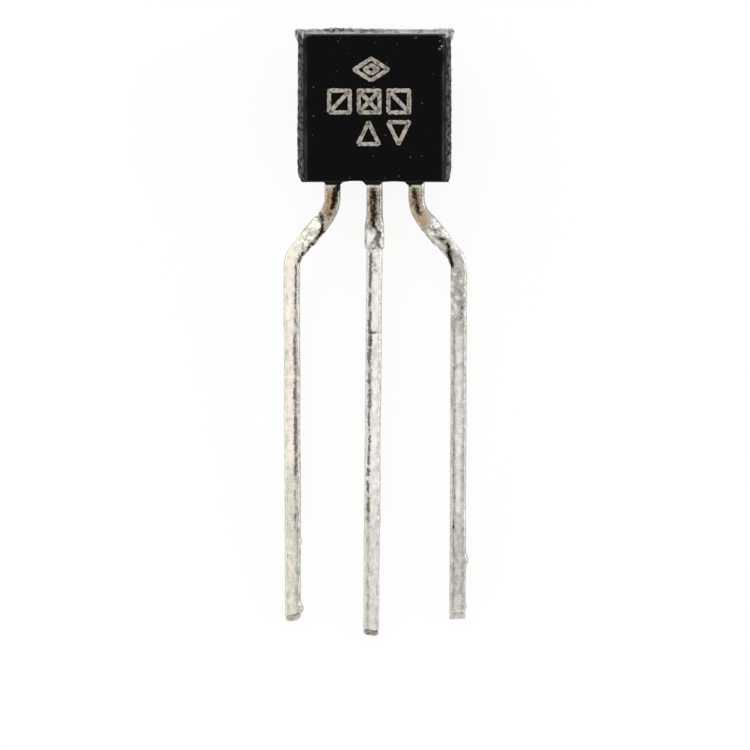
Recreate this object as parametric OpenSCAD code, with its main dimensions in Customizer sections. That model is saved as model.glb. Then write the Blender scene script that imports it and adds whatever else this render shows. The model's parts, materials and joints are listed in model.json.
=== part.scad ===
// TO-92 transistor: an epoxy case moulded round three formed leads, with the chip and its wires inside.
// Lengths are in millimetres. Every piece is drawn upright, with its leads down, its flat face
// towards -Y and the middle of the leads on y = 0. It is then laid down on its round back.

/* [Case] */
// Width of the case across its parting line
case_w = 4.6; // [4.3:0.05:5.2]
// Height of the case at its parting line
case_h = 4.6; // [4.3:0.05:5.2]
// Distance from the middle of the leads forward to the flat face
face_depth = 1.25; // [1.1:0.01:1.45]
// Slope of the two long sides towards the flat face, in degrees
side_draft = 9; // [5:0.5:14]
// Slope of the top and bottom ends away from the parting line, in degrees
end_draft = 8; // [4:0.5:11]
// Radius of the two long edges of the flat face
face_edge_r = 0.15; // [0.08:0.01:0.25]
// Diameter of the mark that the ejector pin leaves on the round back
pin_mark_d = 1.1; // [0.8:0.1:1.6]
// Depth of the ejector pin's mark
pin_mark_depth = 0.11; // [0.09:0.01:0.2]

/* [Parting line] */
// Thickness of the fin of flash round the parting line
flash_t = 0.05; // [0.03:0.01:0.08]
// How far the fin stands out along the two sides
flash_side = 0.04; // [0.03:0.01:0.08]
// How far the fin stands out along the top
flash_top = 0.05; // [0.03:0.01:0.08]
// How far the ear of flash at each top corner stands out
ear_w = 0.1; // [0.06:0.01:0.14]
// Height of each ear
ear_h = 0.33; // [0.25:0.01:0.45]
// Width of the broken gate on the top end
gate_w = 0.9; // [0.6:0.05:1.2]
// Thickness of the gate, forward from the parting line
gate_t = 0.28; // [0.15:0.01:0.4]
// How far the gate stands out from the top
gate_h = 0.08; // [0.05:0.01:0.12]
// Distance of the gate's middle from the case's middle, to the left
gate_offset = 1.13; // [0.6:0.01:1.3]
// How far the collar of epoxy round each lead stands out below the case
collar_h = 0.09; // [0.05:0.01:0.15]
// Width of a collar's slope on each side of its lead
collar_slope = 0.2; // [0.1:0.01:0.25]

/* [Leads] */
// Distance between neighbouring leads where they leave the case
lead_pitch = 1.27; // [1.2:0.01:1.39]
// Distance between neighbouring leads after forming
formed_pitch = 2.54; // [2.3:0.01:2.7]
// Width of a lead seen from the front
lead_w = 0.48; // [0.38:0.01:0.55]
// Thickness of a lead seen from the side
lead_t = 0.4; // [0.34:0.01:0.5]
// Radius of a lead's rounded edges
lead_edge_r = 0.12; // [0.06:0.01:0.16]
// Length of the left lead below the case
left_len = 13.65; // [10:0.05:16]
// Length of the middle lead below the case
middle_len = 14.1; // [10:0.05:16]
// Length of the right lead below the case
right_len = 13.55; // [10:0.05:16]
// Slope of the sheared tips, in degrees
tip_slope = 30; // [15:1:45]
// Lean of the middle lead to the left, below its trimmed bar, in degrees
middle_lean = 0.5; // [0:0.1:1]

/* [Forming] */
// Straight length of an outer lead between the case and its first bend
drop_len = 0.45; // [0.3:0.01:0.6]
// Angle that an outer lead is bent through, and back again, in degrees
form_angle = 40; // [35:1:55]
// Radius of the bend next to the case, at the middle of the lead
upper_bend_r = 1; // [0.6:0.05:1.2]
// Radius of the bend away from the case, at the middle of the lead
lower_bend_r = 0.75; // [0.5:0.05:1]
// Distance along a lead from the case to the stubs of the trimmed bar
stub_drop = 1.36; // [1.34:0.01:1.6]
// Length of a stub along its lead
stub_h = 0.62; // [0.4:0.01:0.7]
// How far a stub stands out from its lead
stub_w = 0.05; // [0.02:0.01:0.08]

/* [Lead frame inside the case] */
// Width of the pad under the chip
pad_w = 1.3; // [1.1:0.05:1.4]
// Height of the pad under the chip
pad_h = 1.5; // [1.2:0.05:1.7]
// Height of the pad's lower edge above the bottom of the case
pad_z = 1.8; // [1.6:0.05:2]
// Width of the post that takes a wire
post_w = 0.76; // [0.6:0.02:0.8]
// Height of the post that takes a wire
post_h = 0.9; // [0.7:0.05:1]
// Height of a post's lower edge above the bottom of the case
post_z = 1.9; // [1.6:0.05:2]
// Width of the barbs that lock a lead into the epoxy, on each side
barb_w = 0.16; // [0.1:0.01:0.2]
// Height of the barbs' square upper edge above the bottom of the case
barb_z = 1.15; // [1:0.05:1.3]
// Height of a barb
barb_h = 0.4; // [0.2:0.05:0.6]

/* [Chip and wires] */
// Side of the square chip
chip_side = 0.5; // [0.35:0.01:0.8]
// Thickness of the chip
chip_t = 0.22; // [0.15:0.01:0.3]
// Thickness of the solder under the chip
solder_t = 0.03; // [0.02:0.005:0.05]
// Width of the solder that shows past each side of the chip
solder_rim = 0.03; // [0.01:0.005:0.06]
// Diameter of a bond wire
wire_d = 0.038; // [0.025:0.001:0.05]
// Height of a wire's loop over the line between its feet
loop_rise = 0.32; // [0.2:0.01:0.36]
// Diameter of a wire's foot
foot_d = 0.1; // [0.08:0.01:0.12]
// Thickness of a wire's foot
foot_t = 0.045; // [0.04:0.005:0.06]

/* [Hidden] */
$fn = 64;

// Extra length of anything that only cuts or that ends inside another solid
over = 1;

// Case: the back is half of a round bar as wide as the case
back_r = case_w / 2;
side_x = case_w / 2 - face_edge_r / cos(side_draft);
top_z = case_h + max(flash_top, gate_h);

// Parting line: where the fin's outline changes, measured down from the top
fin_least = 0.015;
fin_full_drop = 1.4;
fin_thin_drop = 0.9;
ear_shoulder = 0.12;
foot_chamfer = 0.15;

// Forming: the slanted stretch takes up what the bends leave of the sideways shift
bend_shift = (upper_bend_r + lower_bend_r) * (1 - cos(form_angle));
slant_len = (formed_pitch - lead_pitch - bend_shift) / sin(form_angle);
form_drop = drop_len + (upper_bend_r + lower_bend_r) * sin(form_angle) + slant_len * cos(form_angle);
stub_rise = 0.35;
stub_fall = 0.03;

// Rings of points that carry a lead's section: the most a bend turns between two of them, and the
// least distance between two of them
ring_turn = 6;
ring_gap = 0.01;

// Lead frame: the stretch in which the rounded lead passes into the flat stamping
root_z = 0.3;
corner_cut = 0.2;

// Chip: heights in front of the middle of the leads
pad_front = lead_t / 2;
chip_z = pad_z + pad_h / 2;
chip_front = pad_front + solder_t + chip_t;
bond_x = chip_side * 0.25;
bond_z = chip_z + chip_side * 0.1;
post_bond_z = post_z + post_h * 0.45;

// Rest: the round back's lower edge and the middle lead's tip lie on the ground
heel_z = back_r * tan(end_draft);
rest_tilt = atan2(back_r - lead_t / 2, middle_len + heel_z);
rest_lift = lead_t / 2 * cos(rest_tilt) + middle_len * sin(rest_tilt);
top_y = top_z * cos(rest_tilt);
tip_y = lead_t / 2 * sin(rest_tilt) - middle_len * cos(rest_tilt);

// Points of an arc, from one angle to another
function arc(centre, r, from, to, steps = 5) =
    [for (i = [0:steps]) let (a = from + (to - from) * i / steps) centre + r * [cos(a), sin(a)]];

// The same outline on the other side of x = 0, in the order that closes it
function other_side(points) = [for (i = [len(points) - 1:-1:0]) [-points[i][0], points[i][1]]];

// Cross-section of a lead of any width: a rectangle with rounded edges
function section_points(width) =
    let (x = width / 2 - lead_edge_r, y = lead_t / 2 - lead_edge_r)
    concat(
        arc([x, y], lead_edge_r, 0, 90, 3),
        arc([-x, y], lead_edge_r, 90, 180, 3),
        arc([-x, -y], lead_edge_r, 180, 270, 3),
        arc([x, -y], lead_edge_r, 270, 360, 3)
    );

// Width of a lead at a distance from the case, with what is left of the bar that tied the leads
// together before it was trimmed off
function width_at(s) = lead_w + 2 * lookup(s, [
    [stub_drop - stub_rise, 0],
    [stub_drop, stub_w],
    [stub_drop + stub_h, stub_w],
    [stub_drop + stub_h + stub_fall, 0]
]);

// A route is the middle of a lead below the case, as stretches of [length, angle turned to the left]
function bend(r, angle) = [r * abs(angle) * PI / 180, angle];
function formed_route(length) = [
    [drop_len, 0],
    bend(upper_bend_r, form_angle),
    [slant_len, 0],
    bend(lower_bend_r, -form_angle),
    [length - form_drop, 0]
];
function straight_route(length) = [
    [stub_drop, 0],
    [stub_h, middle_lean],
    [length - stub_drop - stub_h, 0]
];

// Length of a route's first stretches
function route_len(route, count) = count == 0 ? 0 : route[count - 1][0] + route_len(route, count - 1);

// Point of a route at a distance from the case, as [x, z, angle from straight down]
function along(route, s, i = 0, from = [0, 0, 0]) =
    let (
        part = i < len(route) - 1 ? min(s, route[i][0]) : s,
        turned = route[i][1] * part / route[i][0],
        chord = turned == 0 ? part : part * sin(turned / 2) / (turned / 2 * PI / 180),
        middle = from[2] + turned / 2,
        to = from + [-chord * sin(middle), -chord * cos(middle), turned]
    )
    part < s ? along(route, s - part, i + 1, to) : to;

// Numbers in rising order, without those that nearly repeat an earlier one
function sorted(v) = len(v) < 2 ? v : concat(
    sorted([for (a = v) if (a < v[0] - ring_gap) a]),
    [v[0]],
    sorted([for (a = v) if (a > v[0] + ring_gap) a])
);

// Distances along a route at which a lead has a ring: its ends, its bends and its stubs
function stations(route) = sorted(concat(
    [-root_z, route_len(route, len(route))],
    [for (i = [0:len(route) - 1]) let (count = ceil(abs(route[i][1]) / ring_turn))
        for (k = [0:count]) if (count > 0) route_len(route, i) + route[i][0] * k / count],
    [stub_drop - stub_rise, stub_drop, stub_drop + stub_h, stub_drop + stub_h + stub_fall]
));

// The lead's section at a distance along its route; a shear raises its front side
function ring(route, s, shear = 0) =
    let (at = along(route, s))
    [for (p = section_points(width_at(s)))
        [at[0] + p[0] * cos(at[2]), p[1], at[1] - p[0] * sin(at[2]) + shear * (lead_t / 2 - p[1])]];

// Lays a piece on its round back, with the middle of the object's box over the origin
module lay() {
    translate([0, -(top_y + tip_y) / 2, rest_lift]) rotate([rest_tilt - 90, 0, 0]) children();
}

// Extrudes an outline seen from the front, or one seen from the side, to both sides of its plane
module from_front(depth) {
    rotate([90, 0, 0]) linear_extrude(depth, center = true) children();
}
module from_side(width) {
    rotate([90, 0, 90]) linear_extrude(width, center = true) children();
}

// The case seen from below: straight drafted sides with rounded edges in front, half a round bar behind
module case_plan() {
    half = concat(
        [[case_w / 2, 0]],
        arc(
            [side_x - (face_depth - face_edge_r) * tan(side_draft), face_edge_r - face_depth],
            face_edge_r,
            -side_draft,
            -90
        )
    );
    polygon(concat(half, other_side(half)));
    difference() {
        circle(r = back_r);
        translate([-case_w, -2 * case_w]) square(2 * case_w);
    }
}

// The case seen from the side: both ends slope away from the parting line
module case_side() {
    front = -face_depth - over;
    back = back_r + over;
    polygon([
        [front, -front * tan(end_draft)],
        [0, 0],
        [back, back * tan(end_draft)],
        [back, case_h - back * tan(end_draft)],
        [0, case_h],
        [front, case_h + front * tan(end_draft)]
    ]);
}

// The fin that the epoxy forms where the mould halves meet, with an ear at each top corner
module flash_fin() {
    edge = case_w / 2;
    half = [
        [edge - foot_chamfer, fin_least],
        [edge + fin_least, foot_chamfer],
        [edge + flash_side, 2 * foot_chamfer],
        [edge + flash_side, case_h - fin_full_drop],
        [edge + fin_least, case_h - fin_thin_drop],
        [edge + fin_least, case_h - ear_h],
        [edge + ear_w, case_h - ear_shoulder],
        [edge + ear_w, case_h + flash_top / 2],
        [edge - foot_chamfer, case_h + flash_top]
    ];
    from_front(flash_t) polygon(concat(half, other_side(half)));
}

// The stump that stays where the runner of epoxy was broken off
module gate_stump() {
    translate([-gate_offset - gate_w / 2, -gate_t, case_h - gate_t])
        cube([gate_w, gate_t, gate_t + gate_h]);
}

// A low collar that slopes up into the case from the lead it surrounds
module collar() {
    rise = collar_h + collar_slope / 2;
    module slope(inner) {
        polygon([
            [-inner / 2 - collar_slope / 4, -collar_h],
            [inner / 2 + collar_slope / 4, -collar_h],
            [inner / 2 + collar_slope, rise - collar_h],
            [-inner / 2 - collar_slope, rise - collar_h]
        ]);
    }
    intersection() {
        from_front(case_w) slope(lead_w);
        from_side(case_w) slope(lead_t);
    }
}

module moulded_body() {
    difference() {
        union() {
            intersection() {
                linear_extrude(case_h) case_plan();
                from_side(2 * case_w) case_side();
            }
            flash_fin();
            gate_stump();
            for (side = [-1:1]) translate([side * lead_pitch, 0, 0]) collar();
        }
        translate([0, back_r - pin_mark_depth, case_h / 2])
            rotate([-90, 0, 0]) cylinder(d = pin_mark_d, h = over);
    }
}

// A lead from inside the case to its sheared tip, whose end looks forwards
module swept_lead(route) {
    at = stations(route);
    last = len(at) - 1;
    n = len(section_points(lead_w));
    polyhedron(
        points = [for (k = [0:last]) each ring(route, at[k], k < last ? 0 : tan(tip_slope))],
        faces = concat(
            [[for (i = [n - 1:-1:0]) i]],
            [for (k = [0:last - 1], i = [0:n - 1]) let (j = (i + 1) % n)
                [k * n + i, k * n + j, (k + 1) * n + j, (k + 1) * n + i]],
            [[for (i = [0:n - 1]) last * n + i]]
        )
    );
}

// One side of the flat stamping inside the case: stem, barb and head
function stamped_side(head_w, head_z, head_h) = [
    [lead_w / 2, root_z],
    [lead_w / 2, barb_z - barb_h],
    [lead_w / 2 + barb_w, barb_z],
    [lead_w / 2, barb_z],
    [lead_w / 2, head_z - corner_cut],
    [head_w / 2, head_z],
    [head_w / 2, head_z + head_h - corner_cut],
    [head_w / 2 - corner_cut, head_z + head_h]
];

module stamping(head_w, head_z, head_h) {
    side = stamped_side(head_w, head_z, head_h);
    from_front(lead_t) polygon(concat(side, other_side(side)));
}

// Outer leads end in a post for a wire, and the middle lead in the pad for the chip
module post() {
    stamping(post_w, post_z, post_h);
}
module pad() {
    stamping(pad_w, pad_z, pad_h);
}

// The hole that a lead leaves in the bottom of the case
module lead_hole() {
    translate([0, 0, -collar_h - over])
        linear_extrude(root_z + collar_h + over) polygon(section_points(lead_w));
}

// The places of the outer leads, left and right
module at_left() {
    translate([-lead_pitch, 0, 0]) children();
}
module at_right() {
    mirror([1, 0, 0]) at_left() children();
}

module chip_block() {
    translate([-chip_side / 2, -chip_front, chip_z - chip_side / 2]) cube([chip_side, chip_t, chip_side]);
}

module solder_layer() {
    side = chip_side + 2 * solder_rim;
    translate([-side / 2, -pad_front - solder_t, chip_z - side / 2]) cube([side, solder_t, side]);
}

// The flattened end of a wire, on a face that looks forwards
module wire_foot() {
    rotate([90, 0, 0]) cylinder(d = foot_d, h = foot_t);
}

// A wire looped from the chip to the left post: one arc of round wire between two feet
module bond_wire() {
    run = [bond_x - lead_pitch, post_bond_z - bond_z];
    fall = chip_front - pad_front;
    chord = norm([norm(run), fall]);
    chord_angle = -atan2(fall, norm(run));
    loop_r = chord * chord / (8 * loop_rise) + loop_rise / 2;
    half_angle = asin(chord / 2 / loop_r);
    translate([-bond_x, -chip_front, bond_z]) {
        wire_foot();
        rotate([0, -atan2(run[1], run[0]), 0]) rotate([180, 0, 0]) translate([0, foot_t / 2, 0])
            rotate([0, 0, chord_angle]) translate([chord / 2, loop_rise - loop_r, 0])
            rotate([0, 0, 90 - half_angle]) rotate_extrude(angle = 2 * half_angle)
            translate([loop_r, 0]) circle(d = wire_d);
    }
    translate([-lead_pitch, -pad_front, post_bond_z]) wire_foot();
}

module case() {
    color("#101010") difference() {
        moulded_body();
        at_left() {
            post();
            lead_hole();
        }
        pad();
        lead_hole();
        at_right() {
            post();
            lead_hole();
        }
        chip_block();
        solder_layer();
        bond_wire();
        mirror([1, 0, 0]) bond_wire();
    }
}
module emitter_lead() {
    color("#d6d3c9") at_left() {
        post();
        swept_lead(formed_route(left_len));
    }
}
module collector_lead() {
    color("#d6d3c9") {
        pad();
        swept_lead(straight_route(middle_len));
    }
}
module base_lead() {
    color("#d6d3c9") at_right() {
        post();
        swept_lead(formed_route(right_len));
    }
}
module chip() {
    color("#5a5e66") chip_block();
}
module chip_solder() {
    color("#9a9c9e") solder_layer();
}
module emitter_wire() {
    color("#d9a441") bond_wire();
}
module base_wire() {
    color("#d9a441") mirror([1, 0, 0]) bond_wire();
}

lay() case();
lay() emitter_lead();
lay() collector_lead();
lay() base_lead();
lay() chip();
lay() chip_solder();
lay() emitter_wire();
lay() base_wire();
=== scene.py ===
"""Looks of a small three-lead transistor in a moulded plastic case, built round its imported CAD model.

Shapes are made in the case's own frame in millimetres: x across, y from the flat face to the round
back, z up, with the leads pointing down from z = 0. Placement carries them over to the row frame.
"""

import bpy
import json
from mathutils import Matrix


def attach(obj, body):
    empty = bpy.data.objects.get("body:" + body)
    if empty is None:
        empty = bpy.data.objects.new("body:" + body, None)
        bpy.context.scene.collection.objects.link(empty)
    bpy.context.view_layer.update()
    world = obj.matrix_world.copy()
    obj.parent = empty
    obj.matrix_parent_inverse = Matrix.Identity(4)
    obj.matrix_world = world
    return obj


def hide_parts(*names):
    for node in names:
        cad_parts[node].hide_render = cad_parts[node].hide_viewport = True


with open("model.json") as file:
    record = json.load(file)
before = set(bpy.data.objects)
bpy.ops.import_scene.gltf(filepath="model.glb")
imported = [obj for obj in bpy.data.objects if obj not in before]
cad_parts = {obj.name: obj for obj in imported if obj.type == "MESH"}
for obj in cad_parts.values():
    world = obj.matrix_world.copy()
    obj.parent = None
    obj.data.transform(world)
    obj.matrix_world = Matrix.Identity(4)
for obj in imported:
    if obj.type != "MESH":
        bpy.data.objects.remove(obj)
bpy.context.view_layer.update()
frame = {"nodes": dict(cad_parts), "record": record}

import json
import logging
from dataclasses import dataclass, field
from enum import Enum
from functools import partial

import bpy
import numpy as np
from mathutils import Euler, Vector

log = logging.getLogger("transistor")
Array = np.ndarray
MM = 0.001


def smooth(value: Array, low: float, high: float) -> Array:
    """Rises from 0 at low to 1 at high as 3t² - 2t³; low may lie above high."""
    t = np.clip((value - low) / (high - low), 0, 1)
    return t * t * (3 - 2 * t)


def bell(value: Array, width: float) -> Array:
    """Falls off on both sides of 0 as exp(-(value / width)²)."""
    return np.exp(-((value / width) ** 2))


@dataclass(frozen=True)
class Ripples:
    """Uneven relief: a sum of seeded plane waves sin(k · p + phase) with lengths round one size."""

    size: float
    seed: int
    waves: int = 24

    def at(self, points: Array) -> Array:
        """Adds the waves up.

        Args:
            points: points in millimetres, (..., 3).

        Returns:
            Height at each point, with a spread of about 1 round 0.
        """
        rng = np.random.default_rng(self.seed)
        way = rng.normal(size=(self.waves, 3))
        way /= np.linalg.norm(way, axis=1, keepdims=True)
        turns = 2 * np.pi / (self.size * rng.uniform(0.7, 1.6, self.waves))
        phase = rng.uniform(0, 2 * np.pi, self.waves)
        return np.sin(points @ (way * turns[:, None]).T + phase).sum(-1) / np.sqrt(self.waves / 2)


def along_line(line: Array, count: int) -> tuple[Array, Array]:
    """Spaces points evenly along a broken line, by its running length.

    Args:
        line: corners of the line, (n, 2).
        count: how many points are wanted.

    Returns:
        Their distances from the start, and the points, (count, 2).
    """
    run = np.append(0, np.cumsum(np.linalg.norm(np.diff(line, axis=0), axis=1)))
    at = np.linspace(0, run[-1], count)
    return at, np.stack([np.interp(at, run, line[:, k]) for k in (0, 1)], -1)


@dataclass(frozen=True)
class Placement:
    """Where the case's own frame lies in the row frame, by the mount in the middle of its flat face.

    The face lies face_depth in front of the frame's y = 0, and its middle lies at z = face_z.
    """

    face: tuple[float, float, float]
    outward: tuple[float, float, float]
    face_depth: float
    face_z: float

    @classmethod
    def from_record(cls, record: dict, face_depth: float, face_z: float) -> "Placement":
        """Reads the mount in the middle of the flat face."""
        mount = next(m for m in record["mounts"] if m["name"] == "front_flat")
        return cls(tuple(mount["pos_m"]), tuple(mount["axis"]), face_depth, face_z)

    def to_row(self, points: Array) -> Array:
        """Carries points over: the face's middle, less the distance behind the face along its normal,
        plus the distances across and up.

        Args:
            points: points in millimetres in the case's frame, (..., 3).

        Returns:
            The points in metres in the row frame.
        """
        normal = np.array(self.outward)
        up = np.array([0.0, normal[2], -normal[1]])
        back = points[..., 1:2] + self.face_depth
        high = points[..., 2:3] - self.face_z
        across = points[..., 0:1] * np.array([1.0, 0.0, 0.0])
        return np.array(self.face) + MM * (across - back * normal + high * up)


@dataclass
class Skin:
    """A closed surface through rings of points, with a pole at each end.

    rings holds (ring, point, 3) in millimetres; place holds the same points in the coordinates that
    the finish's patterns use; tints are values from 0 to 1, one for each point, that a finish reads.
    """

    name: str
    rings: Array
    place: Array | None = None
    tints: dict[str, Array] = field(default_factory=dict)

    def with_poles(self, values: Array) -> Array:
        """Puts the mean of the first ring before, and that of the last ring after, a ring-wise array."""
        flat = values.reshape(-1, values.shape[-1])
        return np.vstack([values[0].mean(0), flat, values[-1].mean(0)])

    def faces(self) -> tuple[Array, Array]:
        """Joins each ring to the next, and the first and last to their poles.

        Returns:
            Corner numbers of the quads between the rings, and of the triangles at the poles.
        """
        count, around = self.rings.shape[:2]
        here = np.arange(around)
        after = (here + 1) % around
        row = 1 + around * np.arange(count - 1)[:, None]
        quads = np.stack([row + here, row + after, row + around + after, row + around + here], -1)
        last = 1 + around * (count - 1)
        start = np.stack([np.zeros_like(here), 1 + after, 1 + here], -1)
        end = np.stack([last + here, last + after, np.full_like(here, last + around)], -1)
        return quads.reshape(-1, 4), np.vstack([start, end])

    def outward_faces(self, points: Array) -> tuple[Array, Array]:
        """The faces, turned round where their signed volume is less than 0.

        Args:
            points: points of the surface with its poles.

        Returns:
            Corner numbers of the quads and of the triangles.
        """
        quads, tris = self.faces()
        a, b, c = (points[tris[:, k]] for k in range(3))
        p, q, r, s = (points[quads[:, k]] for k in range(4))
        volume = np.sum(np.cross(a, b) * c) + np.sum(np.cross(p, q) * r) + np.sum(np.cross(p, r) * s)
        if volume < 0:
            quads, tris = quads[:, ::-1], tris[:, ::-1]
        return quads, tris

    def build(self, where: Placement, material: bpy.types.Material, slot: str) -> bpy.types.Object:
        """Makes the object in the row frame, riding on the root body, with its faces outward.

        Args:
            where: place of the case's frame.
            material: finish of the piece.
            slot: the record's material slot; not used.

        Returns:
            The object.
        """
        points = where.to_row(self.with_poles(self.rings))
        quads, tris = self.outward_faces(points)
        mesh = bpy.data.meshes.new(self.name)
        mesh.vertices.add(len(points))
        mesh.vertices.foreach_set("co", points.astype(np.float32).ravel())
        mesh.loops.add(quads.size + tris.size)
        corners = np.concatenate([quads.ravel(), tris.ravel()]).astype(np.int32)
        mesh.loops.foreach_set("vertex_index", corners)
        mesh.polygons.add(len(quads) + len(tris))
        starts = np.concatenate([4 * np.arange(len(quads)), quads.size + 3 * np.arange(len(tris))])
        mesh.polygons.foreach_set("loop_start", starts.astype(np.int32))
        mesh.update(calc_edges=True)
        mesh.polygons.foreach_set("use_smooth", np.ones(len(mesh.polygons), bool))
        place = self.with_poles(self.rings if self.place is None else self.place)
        stored = mesh.attributes.new("place", "FLOAT_VECTOR", "POINT")
        stored.data.foreach_set("vector", place.astype(np.float32).ravel())
        for tint, values in self.tints.items():
            stored = mesh.attributes.new(tint, "FLOAT", "POINT")
            flat = self.with_poles(values[..., None]).ravel()
            stored.data.foreach_set("value", flat.astype(np.float32))
        mesh.materials.append(material)
        piece = bpy.data.objects.new(self.name, mesh)
        bpy.context.scene.collection.objects.link(piece)
        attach(piece, "root")
        log.info("%s: %d faces", self.name, len(mesh.polygons))
        return piece


# Finishes


def srgb(code: str) -> tuple[float, float, float, float]:
    """Turns an sRGB colour to linear: parts up to 0.04045 are divided by 12.92, and the others p become
    ((p + 0.055) / 1.055)^2.4.

    Args:
        code: colour such as "#efebdf".

    Returns:
        Red, green, blue and an alpha of 1.
    """
    parts = np.array([int(code[k : k + 2], 16) / 255 for k in (1, 3, 5)])
    linear = np.where(parts <= 0.04045, parts / 12.92, ((parts + 0.055) / 1.055) ** 2.4)
    return (*linear.tolist(), 1.0)


Tree = bpy.types.NodeTree
Socket = bpy.types.NodeSocket
Value = float | tuple[float, ...] | Socket


def add_node(
    tree: Tree, kind: str, inputs: dict[str | int, Value] | None = None, out: str | int = 0,
    **settings: object,
) -> Socket | None:
    """Adds a node, sets its properties, and sets or links its inputs.

    Args:
        tree: tree that the node goes into.
        kind: Blender's name of the node type, without the "ShaderNode" in front.
        inputs: values or sockets by the input's name or number.
        out: name or number of the output that is wanted.
        settings: properties of the node.

    Returns:
        The wanted output, or None where the node has none.
    """
    made = tree.nodes.new("ShaderNode" + kind)
    for name, value in settings.items():
        setattr(made, name, value)
    for key, value in (inputs or {}).items():
        if isinstance(value, Socket):
            tree.links.new(value, made.inputs[key])
        else:
            made.inputs[key].default_value = value
    return made.outputs[out] if made.outputs else None


@dataclass(frozen=True)
class Finish:
    """What every finish has: its name, and the way its patterns are put together. Patterns take their
    coordinates in millimetres from the attribute "place", and a noise of scale 0.5 / size has lumps
    about size millimetres wide. Tints are values from 0 to 1 stored on the piece's points."""

    name: str

    def build(self) -> bpy.types.Material:
        """Makes the material: the main shader with the finish's inputs, linked to the output.

        Returns:
            The material.
        """
        material = bpy.data.materials.new(self.name)
        material.use_nodes = True
        tree = material.node_tree
        tree.nodes.clear()
        surface = add_node(tree, "BsdfPrincipled", self.inputs(tree))
        add_node(tree, "OutputMaterial", {"Surface": surface})
        return material

    def inputs(self, tree: Tree) -> dict[str, Value]:
        """What goes into the main shader, by its socket's name."""
        raise NotImplementedError

    def torn(
        self, tree: Tree, amount: Socket, noise: Socket, jag: float, low: float, high: float
    ) -> Socket:
        """Gives an amount ragged edges: amount + jag · (noise - 0.5), carried over from low…high to 0…1,
        and nothing where the amount is 0.

        Args:
            tree: tree that the nodes go into.
            amount: how much of something there is, from 0 to 1.
            noise: pattern that tears the edges.
            jag: how far the noise moves the amount.
            low: shaken amount at which the result leaves 0.
            high: shaken amount at which it reaches 1.

        Returns:
            The torn amount.
        """
        centred = add_node(tree, "Math", {0: noise, 1: 0.5}, operation="SUBTRACT")
        shaken = add_node(tree, "Math", {0: centred, 1: jag, 2: amount}, operation="MULTIPLY_ADD")
        share = add_node(tree, "MapRange", {"Value": shaken, "From Min": low, "From Max": high})
        there = add_node(tree, "MapRange", {"Value": amount, "From Max": 0.15})
        return add_node(tree, "Math", {0: share, 1: there}, operation="MULTIPLY")

    def layered(self, tree: Tree, colour: Value, layers: tuple[tuple[Socket, Value], ...]) -> Socket:
        """Lays colours over one another, each as far as its share goes from 0 to 1.

        Args:
            tree: tree that the nodes go into.
            colour: colour at the bottom.
            layers: share and colour of each layer, from the bottom up.

        Returns:
            The colour on top.
        """
        for share, above in layers:
            colour = add_node(tree, "Mix", {0: share, 6: colour, 7: above}, 2, data_type="RGBA")
        return colour


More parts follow.
